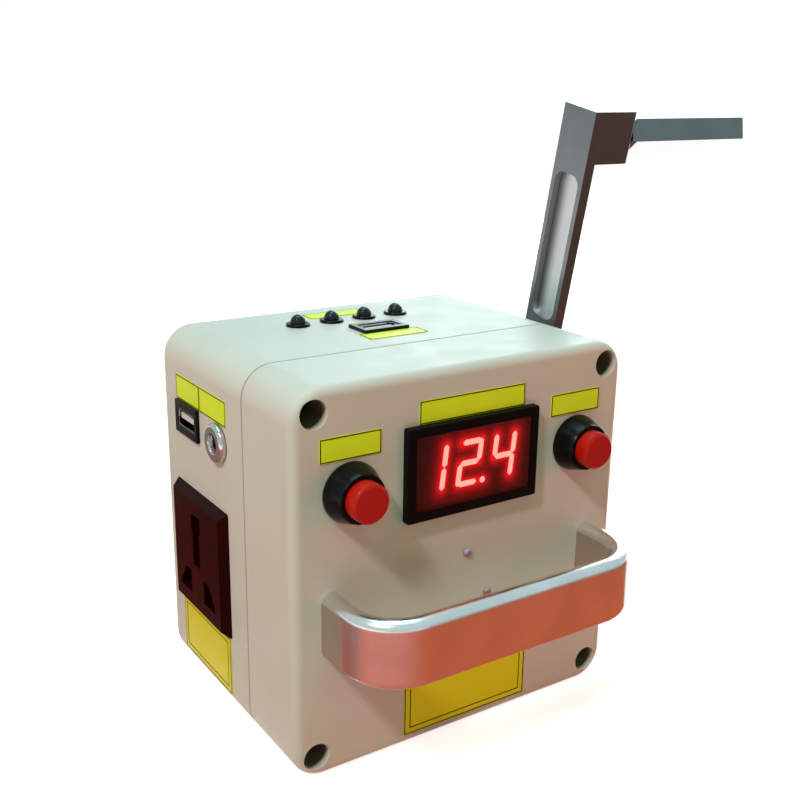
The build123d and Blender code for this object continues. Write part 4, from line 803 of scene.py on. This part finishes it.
def lamp(name, place, aim, size, power, colour, mirrored=True):
    """Square lamp; one that isn't mirrored lights surfaces but doesn't show in shiny ones."""
    data = bpy.data.lights.new(name, "AREA")
    data.size = size
    data.energy = power
    data.color = colour
    piece = bpy.data.objects.new(name, data)
    piece.location = place
    piece.rotation_mode = "QUATERNION"
    piece.rotation_quaternion = (Vector(aim) - Vector(place)).to_track_quat("-Z", "Y")
    piece.visible_camera = False
    piece.visible_glossy = mirrored
    bpy.context.scene.collection.objects.link(piece)


box_middle = (0, 0, 0.06)
lamp(
    "key",
    place=(-0.75, -0.39, 1.00),
    aim=box_middle,
    size=0.12,
    power=8.2,
    colour=(1.0, 0.85, 0.83),
)
lamp(
    "overhead",
    place=(0.05, 0.15, 1.2),
    aim=box_middle,
    size=0.7,
    power=7.4,
    colour=(0.52, 0.94, 1.0),
)
lamp(
    "side",
    place=(-1.0, -0.05, 0.40),
    aim=box_middle,
    size=0.8,
    power=1.62,
    colour=(0.92, 1.0, 0.56),
    mirrored=False,
)
lamp(
    "front_fill",
    place=(-0.1, -0.9, 0.8),
    aim=(0, 0, 0.12),
    size=0.5,
    power=1.5,
    colour=(0.09, 1.0, 0.3),
    mirrored=False,
)
lamp(
    "far_side",
    place=(0.95, 0.75, 0.30),
    aim=box_middle,
    size=0.8,
    power=4.6,
    colour=(0.82, 0.96, 1.0),
    mirrored=False,
)
lamp(
    "low_right",
    place=(0.60, -0.45, 0.12),
    aim=(0.03, 0, 0.05),
    size=0.4,
    power=1.65,
    colour=(1.0, 0.02, 0.0),
    mirrored=False,
)


def card(name, corners, near, far, middle, near_radius, far_radius, left=None, left_span=(0, 0)):
    """Coloured card that only shows in shiny surfaces: near its middle one colour, far off another.

    With a left colour, it goes over to that colour along X across the span.
    """
    data = bpy.data.meshes.new(name)
    data.from_pydata(corners, [], [(0, 1, 2, 3)])
    piece = bpy.data.objects.new(name, data)
    bpy.context.scene.collection.objects.link(piece)
    piece.visible_camera = False
    piece.visible_diffuse = False
    piece.visible_transmission = False
    piece.visible_shadow = False
    look = Look(name, (0, 0, 0), 1, Specular_IOR_Level=0)
    offset = look.add("ShaderNodeVectorMath", operation="DISTANCE")
    offset.inputs[1].default_value = middle
    look.link(look.place, offset.inputs[0])
    factor = look.ramp(offset.outputs["Value"], near_radius, far_radius, 0, 1)
    colour = look.mix(factor, near, far)
    if left:
        colour = look.mix(look.ramp(look.axes()[0], *left_span, 1, 0), colour, left)
    look.link(colour, look.shader.inputs["Emission Color"])
    look.shader.inputs["Emission Strength"].default_value = 1
    data.materials.append(look.material)


card_height = 0.0005
front_reach = -0.80  # the front card runs this far forward
front_edge = -0.046  # where the front and leg cards meet, just before the front panel
side_edge = -0.07  # right edge of the cards on the left
back_edge = 0.05  # where the leg and left cards meet
card(
    "front_card",
    level((-0.30, 0.80), (front_reach, front_edge), card_height),
    near=(0.56, 0.12, 0.052),
    far=(0.28, 0.15, 0.11),
    middle=(0.06, -0.15, 0),
    near_radius=0.09,
    far_radius=0.20,
    left=(0.70, 0.23, 0.175),
    left_span=(-0.08, 0.0),
)
card(
    "leg_card",
    level((-0.30, side_edge), (front_edge, back_edge), card_height),
    near=(0.52, 0.20, 0.16),
    far=(0.34, 0.28, 0.28),
    middle=(-0.08, -0.02, 0),
    near_radius=0.03,
    far_radius=0.09,
)
card(
    "left_card",
    level((-0.40, side_edge), (back_edge, 0.40), card_height),
    near=(0.45, 0.05, 0.03),
    far=(0.26, 0.23, 0.20),
    middle=(-0.10, 0.11, 0),
    near_radius=0.04,
    far_radius=0.14,
)
card(
    "right_card",
    level((0.20, 0.80), (-0.05, 0.40), card_height),
    near=(4.2, 3.7, 3.6),
    far=(3.0, 2.8, 2.8),
    middle=(0.37, 0.04, 0),
    near_radius=0.1,
    far_radius=0.4,
)
card(
    "sky_card",
    [(1.7, 0.30, 0.35), (0.8, 1.40, 0.35), (0.8, 1.40, 1.40), (1.7, 0.30, 1.40)],
    near=(4.0, 4.5, 4.5),
    far=(3.0, 3.4, 3.4),
    middle=(1.3, 0.8, 0.8),
    near_radius=0.3,
    far_radius=0.9,
)
card(
    "dark_card",
    [(0.7, -1.9, 0), (1.9, -0.7, 0), (1.9, -0.7, 0.22), (0.7, -1.9, 0.22)],
    near=(0.30, 0.22, 0.16),
    far=(0.35, 0.28, 0.22),
    middle=(1.3, -1.3, 0.1),
    near_radius=0.4,
    far_radius=1.2,
)

camera_data = bpy.data.cameras.new("camera")
camera_data.sensor_width = sensor_width_mm
camera_data.lens = focal_length_px / photo_side_px * sensor_width_mm
camera_data.clip_start = 0.01
camera_data.clip_end = 50
camera = bpy.data.objects.new("camera", camera_data)
axes = Matrix((camera_right, camera_up, -Vector(camera_forward))).transposed()
camera.matrix_world = Matrix.Translation(Vector(camera_place_mm) * MM) @ axes.to_4x4()
bpy.context.scene.collection.objects.link(camera)
bpy.context.scene.camera = camera
bpy.context.scene.view_settings.view_transform = "Standard"
